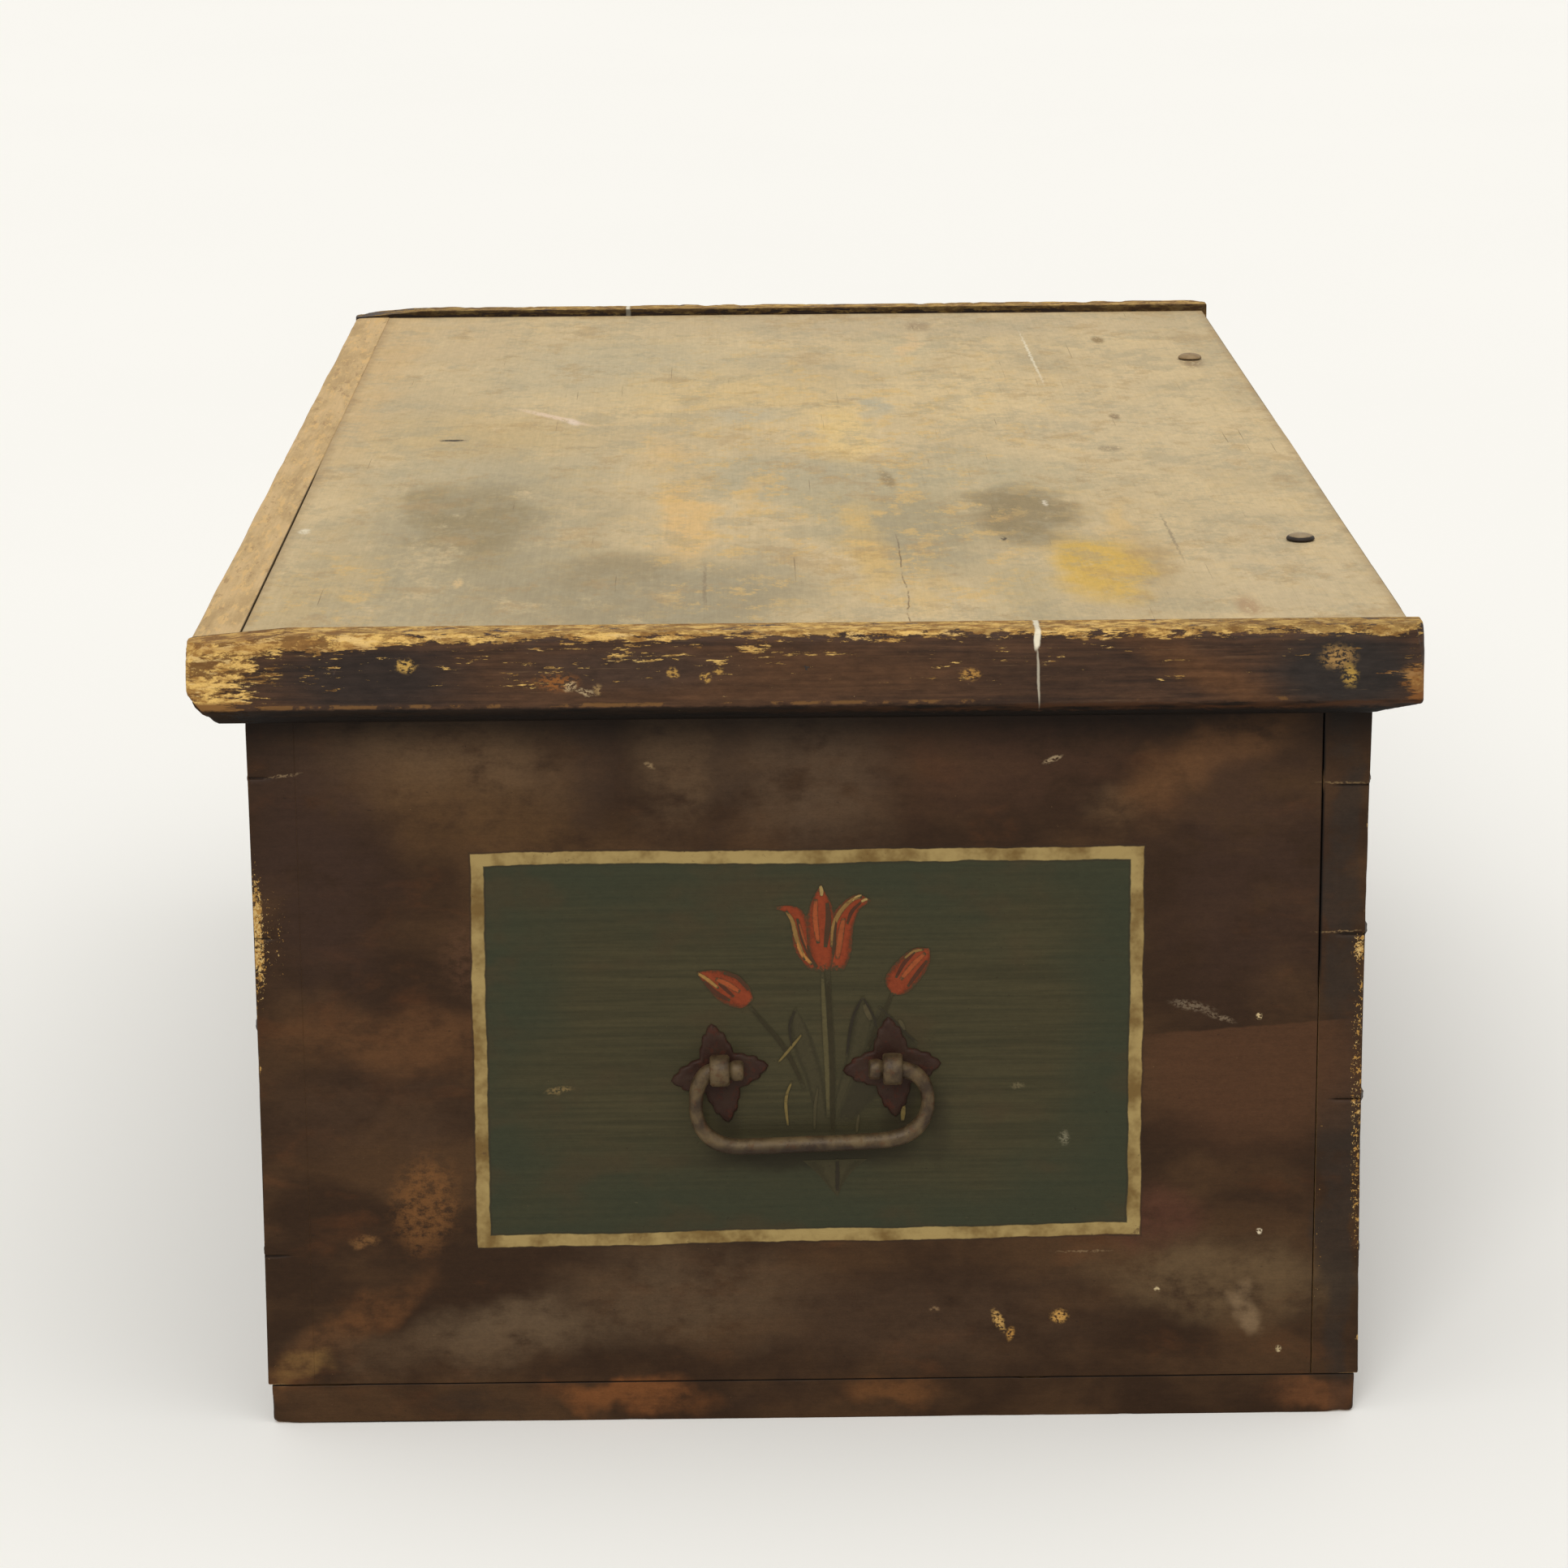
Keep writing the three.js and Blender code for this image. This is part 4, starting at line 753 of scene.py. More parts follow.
def box_grid(xs, ys, zs):
    """The skin of a box as welded quads: its points, its faces and each face's side"""
    counts = (len(xs), len(ys), len(zs))
    skin = np.ones(counts, bool)
    skin[1:-1, 1:-1, 1:-1] = False
    index = np.full(counts, -1)
    index[skin] = np.arange(skin.sum())
    cells = np.argwhere(skin)
    points = np.column_stack([np.asarray(line)[cells[:, axis]] for axis, line in enumerate((xs, ys, zs))])
    faces, sides = [], []
    for axis in range(3):
        for end in (0, 1):
            sheet = index.take(end * (counts[axis] - 1), axis=axis)
            quads = np.stack([sheet[:-1, :-1], sheet[1:, :-1], sheet[1:, 1:], sheet[:-1, 1:]], axis=-1)
            quads = quads.reshape(-1, 4)
            outward = (end == 1) != (axis == 1)
            faces.append(quads if outward else quads[:, ::-1])
            sides.append(np.full(len(quads), 2 * axis + end))
    return points.astype(float), np.concatenate(faces), np.concatenate(sides)


def softened(points, low, high, radius):
    """The box's edges and corners rounded to each point's own radius"""
    reach = np.minimum(radius, (high - low).min() / 2 - 0.01)[:, None]
    core = np.clip(points, low + reach, high - reach)
    out = points - core
    length = np.linalg.norm(out, axis=1, keepdims=True)
    return core + reach * out / np.maximum(length, 1e-9)


def soft_block(xs, ys, zs, radius):
    """A small block with rounded edges"""
    points, faces, _ = box_grid(xs, ys, zs)
    return softened(points, points.min(0), points.max(0), np.full(len(points), radius)), faces


def add_mesh(name, points, faces, materials, body, nodes=(), sides=None, smooth=True, values=None):
    """A piece from points in millimetres. Values are numbers or colours for each point, by name."""
    mesh = bpy.data.meshes.new(name)
    mesh.from_pydata((np.asarray(points) * MM).tolist(), [], [list(map(int, face)) for face in faces])
    for material in materials:
        mesh.materials.append(material)
    if sides is not None:
        mesh.polygons.foreach_set("material_index", np.asarray(sides, np.int32))
    mesh.polygons.foreach_set("use_smooth", np.full(len(mesh.polygons), smooth))
    for key, numbers in (values or {}).items():
        numbers = np.asarray(numbers, np.float32)
        coloured = numbers.ndim == 2
        attribute = mesh.attributes.new(key, "FLOAT_COLOR" if coloured else "FLOAT", "POINT")
        attribute.data.foreach_set("color" if coloured else "value", numbers.ravel())
    mesh.validate()
    piece = linked(name, mesh)
    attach(piece, body)
    if nodes:
        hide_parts(*nodes)


class Board:
    """A board's skin as a grid of points, which is worn and cut before it becomes a piece. Axes are
    0, 1 and 2, and a way is 1 towards an axis's high end or -1 towards its low one."""

    def __init__(self, node, steps, extra=((), (), ())):
        self.node = node
        self.low, self.high = node_box(node)
        lines = [grid_lines(self.low[a], self.high[a], steps[a], extra[a]) for a in range(3)]
        self.points, self.faces, self.sides = box_grid(*lines)
        self.flat = self.points.copy()
        self.x, self.y, self.z = self.flat.T
        # how far each point is from the nearest edge
        self.edge = np.sort(np.minimum(self.flat - self.low, self.high - self.flat), axis=1)[:, 1]
        # dark laid on the wood: dirt in joints and splits, and painted shade in the open joint and under the
        # lid
        self.dirt_and_shade = np.zeros(len(self.points))

    def relief(self, size, seed, octaves=2):
        return relief(self.flat, size, seed, octaves)

    def limit(self, axis, way):
        """Where the board ends on that side"""
        return (self.high if way > 0 else self.low)[axis]

    def on(self, axis, way):
        """Which points lie on the board's face on that side"""
        return np.abs(self.flat[:, axis] - self.limit(axis, way)) < 1e-6

    def near(self, axis, way, start=14, full=3):
        """1 within full of the face on that side, falling smoothly to 0 at start from it"""
        limit = self.limit(axis, way) * way
        return smooth_step(self.flat[:, axis] * way, limit - start, limit - full)

    def shares(self, axis, way=1):
        """How far each point is through the board in that direction, from 0 to 1"""
        share = (self.flat[:, axis] - self.low[axis]) / (self.high[axis] - self.low[axis])
        return share if way > 0 else 1 - share

    def round(self, radii):
        self.points = softened(self.points, self.low, self.high, radii)

    def soften(self, radius, wear, seed, size=(30, 30, 30), where=1.0):
        """Rounds the edges, more where the noise says so, and less where the share is low"""
        rough = np.clip(self.relief(size, seed, 3), 0, 1)
        self.round(np.maximum((radius + wear * rough ** 1.5) * where, 0.05))

    def warp(self, axis, shift):
        self.points[:, axis] += shift

    def plane(self, place, slope):
        """Moves the points past a plane back onto it. The plane goes through the place, and the
        slope points out of the wood."""
        slope = np.array(slope, float)
        past = np.clip((self.points - place) @ slope / (slope @ slope), 0, None)
        self.points -= past[:, None] * slope

    def piece(self, body, slot, materials):
        """Materials are given by face, and the one called other is for the rest"""
        used = list(dict.fromkeys(materials.values()))
        by_side = np.array([used.index(materials.get(face, materials["other"])) for face in FACE_ORDER])
        values = {"edge": self.edge, "dirt_and_shade": np.clip(self.dirt_and_shade, 0, 1)}
        add_mesh(self.node + "_wood", self.points, self.faces, used, body, (self.node,),
                 by_side[self.sides], values=values)


# Case boards

def end_relief(points, side):
    """How far an end's face lies inside its plane, with the left and right ends apart"""
    return 0.45 * (relief(points, (150, 90, 70), 11 if side > 0 else 12) - 1.5) / 2.5


# The gap beside the back board: the height where it starts to open, where it is full, both widths,
# and the height of the paint that bridges it
GAP_START, GAP_FULL = 222, 244
GAP_WIDTH, GAP_LOW = 1.7, 0.35
PAINT_BRIDGE = 335
# Short level splits at the corner nails: height and length
SPLITS = {"front": ((342, 13), (259, 11), (91, 14)), "back": ((333, 20), (256, 17), (169, 19))}
SPLIT_HALF_WIDTH = 0.8
SPLIT_DEPTH = 1.1
# How far each long board's outer face has drawn in at mid height
WALL_HOLLOWS = {"front": 0.8, "back": 1.6}
# The worn hollow under an end's bottom edge, as seen from outside: middle, half length and height
ARCH_PLACE, ARCH_HALF, ARCH_RISE = -214, 62, 2.4
# The notches in the joint over an end's bottom board, seen so too: middle, half length and depth
END_NOTCHES = ((112, 8, 1.6), (-254, 24, 0.9))
# The gap between the lid's board and its batten: its width at the near end, the stretch in which it
# widens to that, and the stretch in which the joint comes to be seen
LID_GAP = 1.3
GAP_WIDENS = (0, 540)
JOINT_SHOWS = (20, 120)


def painted_lid_shadow(z):
    """Painted shadow under the lid's overhang, darker towards the wall's top"""
    return 0.85 * smooth_step(z, WALL_TOP - 50, WALL_TOP - 14)


def opened(z):
    """How open the loose joint is, from 0 to 1: closed low down, and bridged by paint at one nail"""
    return smooth_step(z, GAP_START, GAP_FULL) * (1 - bump(z, PAINT_BRIDGE, 6))


def end_board(side_name, paint, wood):
    side = SIDES[side_name]
    board = Board(f"end_board_{side_name}", steps=(4, 3.6, 3.6))
    board.soften(radius=0.05, wear=0, seed=21)
    outer = board.shares(0, side)
    board.warp(0, side * outer * end_relief(board.flat, side))
    # the joint is loose on one side and tight on the other
    loose = board.on(1, side)
    gap = (GAP_LOW + GAP_WIDTH * opened(board.z)) * (1 + 0.4 * board.relief((40, 40, 22), 22))
    board.warp(1, -side * (gap * loose + 0.3 * board.on(1, -side)))
    board.edge += 20
    # painted shade in the open joint's gap, and painted shadow under the lid on the outer face
    board.dirt_and_shade = np.maximum(loose * (0.35 + 0.65 * opened(board.z)), painted_lid_shadow(board.z) * outer)
    board.piece("case", "end_paint", {side_name: paint, "other": wood})


def wall_hollow(z, wall):
    """How far a long board's outer face has drawn in, most at mid height"""
    middle, half = (WALL_TOP + CASE_LOW[2]) / 2, (WALL_TOP - CASE_LOW[2]) / 2
    return WALL_HOLLOWS[wall] * (1 - ((z - middle) / half) ** 2)


def long_board(wall, outer_paint, end_paints, wood):
    out = WALLS[wall]
    steps = (-SPLIT_HALF_WIDTH, -SPLIT_HALF_WIDTH / 2, 0, SPLIT_HALF_WIDTH / 2, SPLIT_HALF_WIDTH)
    heights = [z + step for z, _ in SPLITS[wall] for step in steps]
    board = Board(f"{wall}_board", steps=(9, 3, 3.2), extra=((), (), heights))
    from_outer = np.abs(board.y - board.limit(1, out))
    from_end = np.minimum(board.x - board.low[0], board.high[0] - board.x)
    outside = smooth_step(-from_outer, -14, -5)
    board.soften(radius=0.9, wear=2.4, seed=31 + out, size=(26, 26, 15), where=outside)
    # chips come off the upright arrises first, and then off the upper one
    upper = np.hypot(from_outer, board.high[2] - board.z)
    board.edge = np.minimum(np.hypot(from_outer, from_end), upper + 2)
    ragged = 0.5 * np.clip(board.relief((24, 30, 13), 33, 3), -0.2, 1)
    at_end = np.maximum(board.on(0, -1), board.on(0, 1))
    board.warp(1, -out * board.shares(1, out) * (wall_hollow(board.z, wall) + ragged * at_end))
    # painted shade on the inner face beside the loose end board, and painted shadow under the lid at the
    # ends
    loose = (out * board.x > 0) * smooth_step(from_outer, 23, 23.9) * smooth_step(-from_end, -30, -24)
    board.dirt_and_shade = np.maximum(loose * opened(board.z), at_end * painted_lid_shadow(board.z))
    for side in SIDES.values():
        end = board.on(0, side)
        board.warp(0, side * end * end_relief(board.flat, side))
        for height, length in SPLITS[wall]:
            # the far end has no split low down
            seen = side > 0 or height > 200
            across = np.clip(1 - np.abs(board.z - height) / SPLIT_HALF_WIDTH, 0, 1)
            split = end * across * smooth_step(length - from_outer, 0, 5) * seen
            board.warp(0, -side * split * SPLIT_DEPTH)
            board.dirt_and_shade = np.maximum(board.dirt_and_shade, split * 0.7)
    board.piece("case", "case_paint", {**end_paints, wall: outer_paint, "other": wood})


def bottom_board(index, end_paints, wood, front, back):
    node = f"bottom_board_{index}"
    low, high = node_box(node)
    at_end = high[0] > CASE_END - 1 or low[0] < -CASE_END + 1
    board = Board(node, steps=(6, 3.2 if at_end else 7, 4))
    near_wall, under = smooth_step(np.abs(board.y - MID_Y), 262, 276), board.on(2, -1)
    where = 0.5 + 0.5 * under + 5 * near_wall * board.shares(2, -1)
    board.soften(radius=0.5, wear=1.2, seed=40 + index, size=(24, 18, 12), where=where)
    board.edge += 5
    board.warp(2, 0.1 * board.relief((120, 90, 60), 41) * (1 - under))
    # soot in the joints between the boards, at their outer edges
    board.dirt_and_shade = np.maximum(board.on(0, -1), board.on(0, 1)) * near_wall
    faces = {"front": front, "back": back, "other": wood}
    if at_end:
        side = 1 if high[0] > 0 else -1
        out = board.shares(0, side)
        board.warp(0, side * out * end_relief(board.flat, side))
        u = side * (board.y - MID_Y)
        board.warp(2, ARCH_RISE * bump(u, ARCH_PLACE, ARCH_HALF) * smooth_step(out, 0.8, 1) * under)
        # the joint with the end board above, with a small notch and a wide one
        top = board.on(2, 1)
        notches = sum(depth * bump(u, middle, half) for middle, half, depth in END_NOTCHES)
        board.warp(2, top * (-0.25 - notches * smooth_step(out, 0.9, 1)))
        board.dirt_and_shade = np.where(out > 0.99, top, board.dirt_and_shade)
        name = "right" if side > 0 else "left"
        faces[name] = end_paints[name]
    board.piece("case", "bottom_wood", faces)


# Lid

def lid_board(top, under, edge_wood):
    crack = CRACK_PLACE + MID_Y
    lines = [crack + step for step in (-3, -1.6, -0.8, 0, 0.8, 1.6, 3)]
    board = Board("lid_main_board", steps=(7, 5, 5), extra=((), lines, ()))
    # the joint with the batten is tight and hardly seen towards the far end
    front, seen = board.on(1, -1), smooth_step(board.x, *JOINT_SHOWS)
    tight = (1 - smooth_step(board.y - board.low[1], 2, 8)) * (1 - seen)
    board.soften(radius=0.5, wear=1.0, seed=51, size=(40, 18, 20), where=1 - tight)
    board.warp(2, 0.5 * (board.relief((260, 110, 90), 52) - 1.5) / 2.5 * board.shares(2))
    board.warp(1, LID_GAP * smooth_step(board.x, *GAP_WIDENS) * front)
    ragged = 1.6 * np.clip(0.4 + board.relief((60, 60, 14), 53, 3), 0, 2)
    ragged += 1.2 * np.abs(board.x) / GAP_WIDENS[1]
    board.warp(1, -0.6 * ragged * board.on(1, 1))
    groove = np.clip(1 - np.abs(board.y - crack) / 1.6, 0, 1)
    groove *= smooth_step(board.x, CRACK_START + 2, CRACK_START + 48)
    board.warp(2, -0.2 * groove * board.on(2, 1))
    board.dirt_and_shade = front * 0.8 * seen
    board.piece("lid", "lid_wood", {"top": top, "under": under, "other": edge_wood})


BATTEN_BEVEL = 6
CLEAT_BEVEL = 8
# The cleat's sawn corners below, and its worn slope at the front above: how far along it each one
# reaches, and how high
FRONT_CORNER = (14, 17)
BACK_CORNER = (25, 6)
FRONT_WORN = (50, 4.5)


def batten(top_wood):
    board = Board("lid_front_batten", steps=(5, 2, 2.4))
    near_front = board.near(1, -1)
    rough = np.clip(board.relief((70, 50, 50), 61, 3), -1, 1)
    board.round(0.5 + board.near(2, 1) * near_front * (3.2 + 1.2 * rough))
    board.plane((0, board.low[1], board.low[2] + BATTEN_BEVEL), (0, -1, -1))
    board.warp(1, near_front * 0.3 * (1 + 0.6 * board.relief((90, 70, 14), 62)))
    seen = smooth_step(board.x, *JOINT_SHOWS)
    board.warp(1, 0.3 * (1 - seen) * board.on(1, 1))
    board.dirt_and_shade = 0.7 * seen * board.on(1, 1)
    board.piece("lid", "batten_wood", {"other": top_wood})


def cleat(side_name, paint):
    side = SIDES[side_name]
    board = Board(f"lid_cleat_{side_name}", steps=(2, 2.6, 1.8))
    near_out, near_top, near_low = board.near(0, side), board.near(2, 1), board.near(2, -1, start=10, full=2)
    near_end = smooth_step(np.abs(board.y - MID_Y), 285, 300)
    near_front = smooth_step(MID_Y - board.y, 288, 300)
    rough = np.clip(board.relief((22, 17, 22), 71 + side, 3), -1, 1)
    slow = board.relief((80, 60, 80), 73 + side)
    radius = 0.9 + near_top * near_out * (4.4 + 2.2 * rough + 1.2 * slow)
    radius += near_end * near_out * (3 + 2 * rough) + 3.5 * near_front * near_top
    board.round(radius + near_low * (0.8 + 0.8 * np.clip(rough, 0, 1)))
    low, high = board.low, board.high
    board.plane((board.limit(0, side), 0, low[2] + CLEAT_BEVEL), (side, 0, -1))
    for end, (run, rise), way in ((low[1], FRONT_CORNER, -1), (high[1], BACK_CORNER, 1)):
        board.plane((0, end, low[2] + rise), (0, way / run, -1 / rise))
    run, fall = FRONT_WORN
    board.plane((0, low[1], high[2] - fall), (0, -1 / run, 1 / fall))
    nibble = np.clip(board.relief((12, 9, 6), 75 + side, 3), 0, 1)
    uneven = 0.6 + 0.4 * board.relief((90, 60, 30), 76) + 0.7 * nibble * near_top
    board.warp(0, -side * near_out * np.clip(uneven, 0, None))
    board.warp(2, -near_top * near_out * 0.8 * nibble)
    board.dirt_and_shade = (1 - board.near(0, side, start=23.9, full=23)) * near_top * 0.8
    board.piece("lid", "cleat_paint", {"other": paint})


# Turned and forged iron

def ring_faces(rows, count, flip=False, wrap=True, closed=False):
    """Quads from each ring of points to the next one"""
    faces = []
    for row in range(rows):
        near, far = row * count, (0 if closed and row == rows - 1 else row + 1) * count
        for k in range(count if wrap else count - 1):
            after = (k + 1) % count
            quad = [near + k, far + k, far + after, near + after]
            faces.append(quad[:1] + quad[:0:-1] if flip else quad)
    return faces


def end_rings(rows, count):
    """The first ring and the last one, to be closed with a face each"""
    return list(range(count)), list(range((rows - 1) * count, rows * count))


def lathe(profile, sides, closed=False):
    """Points and faces of a profile turned round Z. The profile is (radius, height) pairs, upward."""
    count = len(profile)
    angles = np.arange(sides) * 2 * math.pi / sides
    radius, height = np.array(profile, float).T
    points = np.stack([np.outer(radius, np.cos(angles)), np.outer(radius, np.sin(angles)),
                       np.repeat(height[:, None], sides, 1)], axis=-1).reshape(-1, 3)
    if closed:
        return points, ring_faces(count, sides, flip=True, closed=True)
    first, last = end_rings(count, sides)
    return points, ring_faces(count - 1, sides, flip=True) + [first[::-1], last]


def joined(parts):
    """Several (points, faces) as one"""
    points, faces, start = [], [], 0
    for some, its in parts:
        points.append(np.asarray(some, float))
        faces += [[start + int(i) for i in face] for face in its]
        start += len(some)
    return np.concatenate(points), faces


NAIL_HEAD = 5.0
NAIL_HEIGHT = 1.8
NAIL_FACETS = 10


def nail(node, outward, body, material, depth=0.0, head=NAIL_HEAD, height=NAIL_HEIGHT):
    """A forged nail: a faceted head and a square shank. Outward is the axis and sign of its head, and
    depth is how far the head is sunk."""
    low, high = node_box(node)
    axis, sign = outward
    count, step = NAIL_FACETS, np.arange(NAIL_FACETS)
    seed = sum(ord(letter) * (k + 1) for k, letter in enumerate(node))
    angles = seed % 97 / 97 * math.pi + step * 2 * math.pi / count
    radii = head * (0.86 + 0.14 * np.sin(seed + 2.3 * step))
    rim = np.column_stack([radii * np.cos(angles), radii * np.sin(angles), np.full(count, 0.35)])
    crown = np.column_stack([0.45 * rim[:, :2], height * (0.9 + 0.1 * np.sin(seed + 1.7 * step))])
    points = np.vstack([rim * (1, 1, 0), rim, crown, (0.1, 0.1, height)])
    faces = ring_faces(2, count, flip=True)
    faces += [[2 * count + k, 2 * count + (k + 1) % count, 3 * count] for k in range(count)]
    faces.append(list(range(count))[::-1])
    length = (high - low)[axis] - height
    shank = [(sx * w, sy * w, z) for w, z in ((1.9, 0), (1.8, -length + 8), (0.3, -length))
             for sx, sy in ((1, 1), (-1, 1), (-1, -1), (1, -1))]
    points, faces = joined([(points, faces), (shank, ring_faces(2, 4) + [[0, 1, 2, 3], [11, 10, 9, 8]])])
    middle = (low + high) / 2
    middle[axis] = (high if sign > 0 else low)[axis] - sign * (height + depth)
    placed = np.roll(points * (1, sign, sign), axis + 1, axis=1) + middle
    add_mesh(node + "_forged", placed, faces, [material], body, (node,), smooth=False)


RIVET_SHANK = 3.2
# The profile of the rivet's domed head: radius, and height from under the head
RIVET_DOME = ((7.3, -0.1), (7.8, 0.5), (7.4, 1.5), (6.2, 2.4), (4.2, 3.1), (2, 3.45), (0.4, 3.5))


def rivet(side_name, material):
    node = f"hinge_rivet_{side_name}"
    low, high = node_box(node)
    head = high[2] - RIVET_DOME[-1][1]
    dome = [(radius, head + up) for radius, up in RIVET_DOME]
    points, faces = lathe([(RIVET_SHANK, low[2]), (RIVET_SHANK, head), *dome], sides=28)
    points[:, :2] *= 1 + 0.035 * relief(points, (6, 6, 6), 81 + SIDES[side_name])[:, None]
    points[:, :2] += ((low + high) / 2)[:2]
    add_mesh(node + "_forged", points, faces, [material], "lid", (node,))


BAIL_RADIUS = 4.3
# Each half of the bail, from its tip to the middle of the grip: how far along the axis from the
# handle's middle, and how far above the axis
BAIL_ROUTES = {
    "front": ((31.4, 0), (36, 0), (42, 0), (47.5, -0.2), (51.6, -3), (54.6, -8.6), (55.6, -16), (55, -23.5),
              (51.8, -30.6), (46, -36), (38, -38.8), (27, -39.4), (0, -39.4)),
    "back": ((31.4, 0), (36, 0), (42, 0), (48.8, -0.3), (55.2, -3), (59.6, -8.6), (61.2, -16), (60.8, -23.2),
             (57.8, -30), (52, -35.2), (44, -38), (33, -39), (0, -39.4)),
}
# The bail's grip and the plates hang a little askew, while the axis through the eyes is level
HANDLE_TILT = math.radians(1.6)
BEAD_RADIUS, BEAD_LENGTH = 5.3, 6.6
EYE_STANDOFF = 10.8
BAIL_SIDES = 20


def curve_through(points, steps):
    """A smooth open curve through the points"""
    knots = np.array(points, float)
    padded = np.vstack([2 * knots[0] - knots[1], knots, 2 * knots[-1] - knots[-2]])
    t = np.linspace(0, 1, steps, endpoint=False)[:, None]
    places = []
    for a, b, c, d in zip(padded, padded[1:], padded[2:], padded[3:]):
        square, cube = 2 * a - 5 * b + 4 * c - d, 3 * b - 3 * c + d - a
        places.append(0.5 * (2 * b + (c - a) * t + square * t**2 + cube * t**3))
    return np.vstack(places + [knots[-1:]])


def unit_tangents(path):
    ahead = np.gradient(path, axis=0)
    return ahead / np.linalg.norm(ahead, axis=1, keepdims=True)


def lengths_along(path):
    """How far each point is along a path from its start"""
    return np.concatenate([[0], np.cumsum(np.linalg.norm(np.diff(path, axis=0), axis=1))])


def swept(path, radii, sides):
    """A round rod along a path in the (y, z) plane at x = 0"""
    angles = np.arange(sides) * 2 * math.pi / sides
    points = []
    for (y, z), (dy, dz), radius in zip(path, unit_tangents(path), radii):
        out, aside = radius * np.cos(angles), radius * np.sin(angles)
        points.append(np.column_stack([out, y - dz * aside, z + dy * aside]))
    first, last = end_rings(len(path), sides)
    return np.concatenate(points), ring_faces(len(path) - 1, sides) + [first, last[::-1]]


def bail_axis(side_name):
    """The Y of a handle's middle, and the height of the axis through its eyes"""
    boxes = np.array([node_box(f"handle_eye_{side_name}_{wall}") for wall in WALLS])
    return boxes.mean(axis=(0, 1))[1:]


def bail(side_name, material):
    side = SIDES[side_name]
    front, back = (curve_through(BAIL_ROUTES[wall], steps=7) for wall in ("front", "back"))
    path = np.vstack([front * (-1, 1), back[::-1][1:]])
    path[:, 1] += path[:, 0] * math.tan(HANDLE_TILT) * smooth_step(-path[:, 1], 4, 30)
    along = lengths_along(path)
    from_tip = np.minimum(along, along[-1] - along)
    bead = 1 - np.clip(np.abs(2 * from_tip / BEAD_LENGTH - 1), 0, 1) ** 4
    # the rod is drawn thinner in its two upright stretches
    radii = BAIL_RADIUS * 0.97 + (BEAD_RADIUS - BAIL_RADIUS) * bead - 0.75 * bump(from_tip, 40, 24)
    radii = np.where(from_tip < 0.05, BEAD_RADIUS * 0.7, radii)
    points, faces = swept(path, radii, BAIL_SIDES)
    dents = 0.16 * relief(points, (14, 9, 9), 91 + side)
    centre = np.repeat(np.column_stack([np.zeros(len(path)), path]), BAIL_SIDES, axis=0)
    points = centre + (points - centre) * (1 + dents / BAIL_RADIUS)[:, None]
    points = points * (side, side, 1) + (side * (CASE_END + EYE_STANDOFF), *bail_axis(side_name))
    node = f"bail_{side_name}"
    add_mesh(node + "_forged", points, faces, [material], f"{side_name}_bail", (node,))


# Half of the eye's ring in section, from its bore to its outside: radius, and place along the axis
EYE_SECTION = ((4.95, 4.6), (5.4, 5), (7.1, 4.9), (7.9, 4.0), (8.05, 2))
EYE_BORE, EYE_OUTSIDE = (4.9, 0), (8.1, 0)
# The shank's half width, its half thickness, its start inside the case and its end in the ring
SHANK_HALF, SHANK_THICK, SHANK_REACH = 5, 2.5, (-26.6, 4.4)
# Each leg's thickness, from its inner side to its outer one, and its length
LEG_DEPTH, LEG_LENGTH = (-26.8, -24.3), 14.8


def eye(side_name, wall, material):
    """A ring round the bail on a flat shank, with two legs bent over inside the case"""
    side = SIDES[side_name]
    node = f"handle_eye_{side_name}_{wall}"
    low, high = node_box(node)
    near_half = [(radius, -place) for radius, place in EYE_SECTION]
    profile = [*near_half, EYE_OUTSIDE, *EYE_SECTION[::-1], EYE_BORE]
    ring, faces = lathe(profile, sides=26, closed=True)
    ring = ring[:, [0, 2, 1]] * (1, 1, -1) + (EYE_STANDOFF, 0, 0)
    across, thick = np.linspace(-SHANK_HALF, SHANK_HALF, 7), np.linspace(-SHANK_THICK, SHANK_THICK, 5)
    parts = [(ring, faces), soft_block(np.linspace(*SHANK_REACH, 14), across, thick, 0.9)]
    for way in (1, -1):
        leg, faces = soft_block(np.linspace(*LEG_DEPTH, 4), across, np.linspace(0, LEG_LENGTH, 10), 0.8)
        leg[:, 1] *= 1 - 0.45 * (leg[:, 2] / LEG_LENGTH) ** 2
        leg[:, 2] *= way
        parts.append((leg, faces[:, ::way]))
    points, faces = joined(parts)
    points += 0.12 * relief(points, (5, 5, 5), 95 + side + WALLS[wall])[:, None]
    points = points * (side, side, 1) + (side * CASE_END, *((low + high) / 2)[1:])
    add_mesh(node + "_forged", points, faces, [material], "case", (node,))


PLATE_HALF = (25, 26.5)
PLATE_WAIST_SHARE = 0.35
PLATE_SWELL = 1.4
PLATE_TOOTH = 1.9
# How far each plate hangs askew, in degrees, anticlockwise as seen from outside
PLATE_TURN = {"front": 9, "back": 4}
PLATE_RINGS = (0.12, 0.25, 0.4, 0.55, 0.7, 0.82, 0.91, 0.96, 1.0)


def turned(points, angle):
    """Points of a plane turned clockwise by an angle in radians"""
    cosine, sine = math.cos(angle), math.sin(angle)
    return points @ np.array([[cosine, -sine], [sine, cosine]])


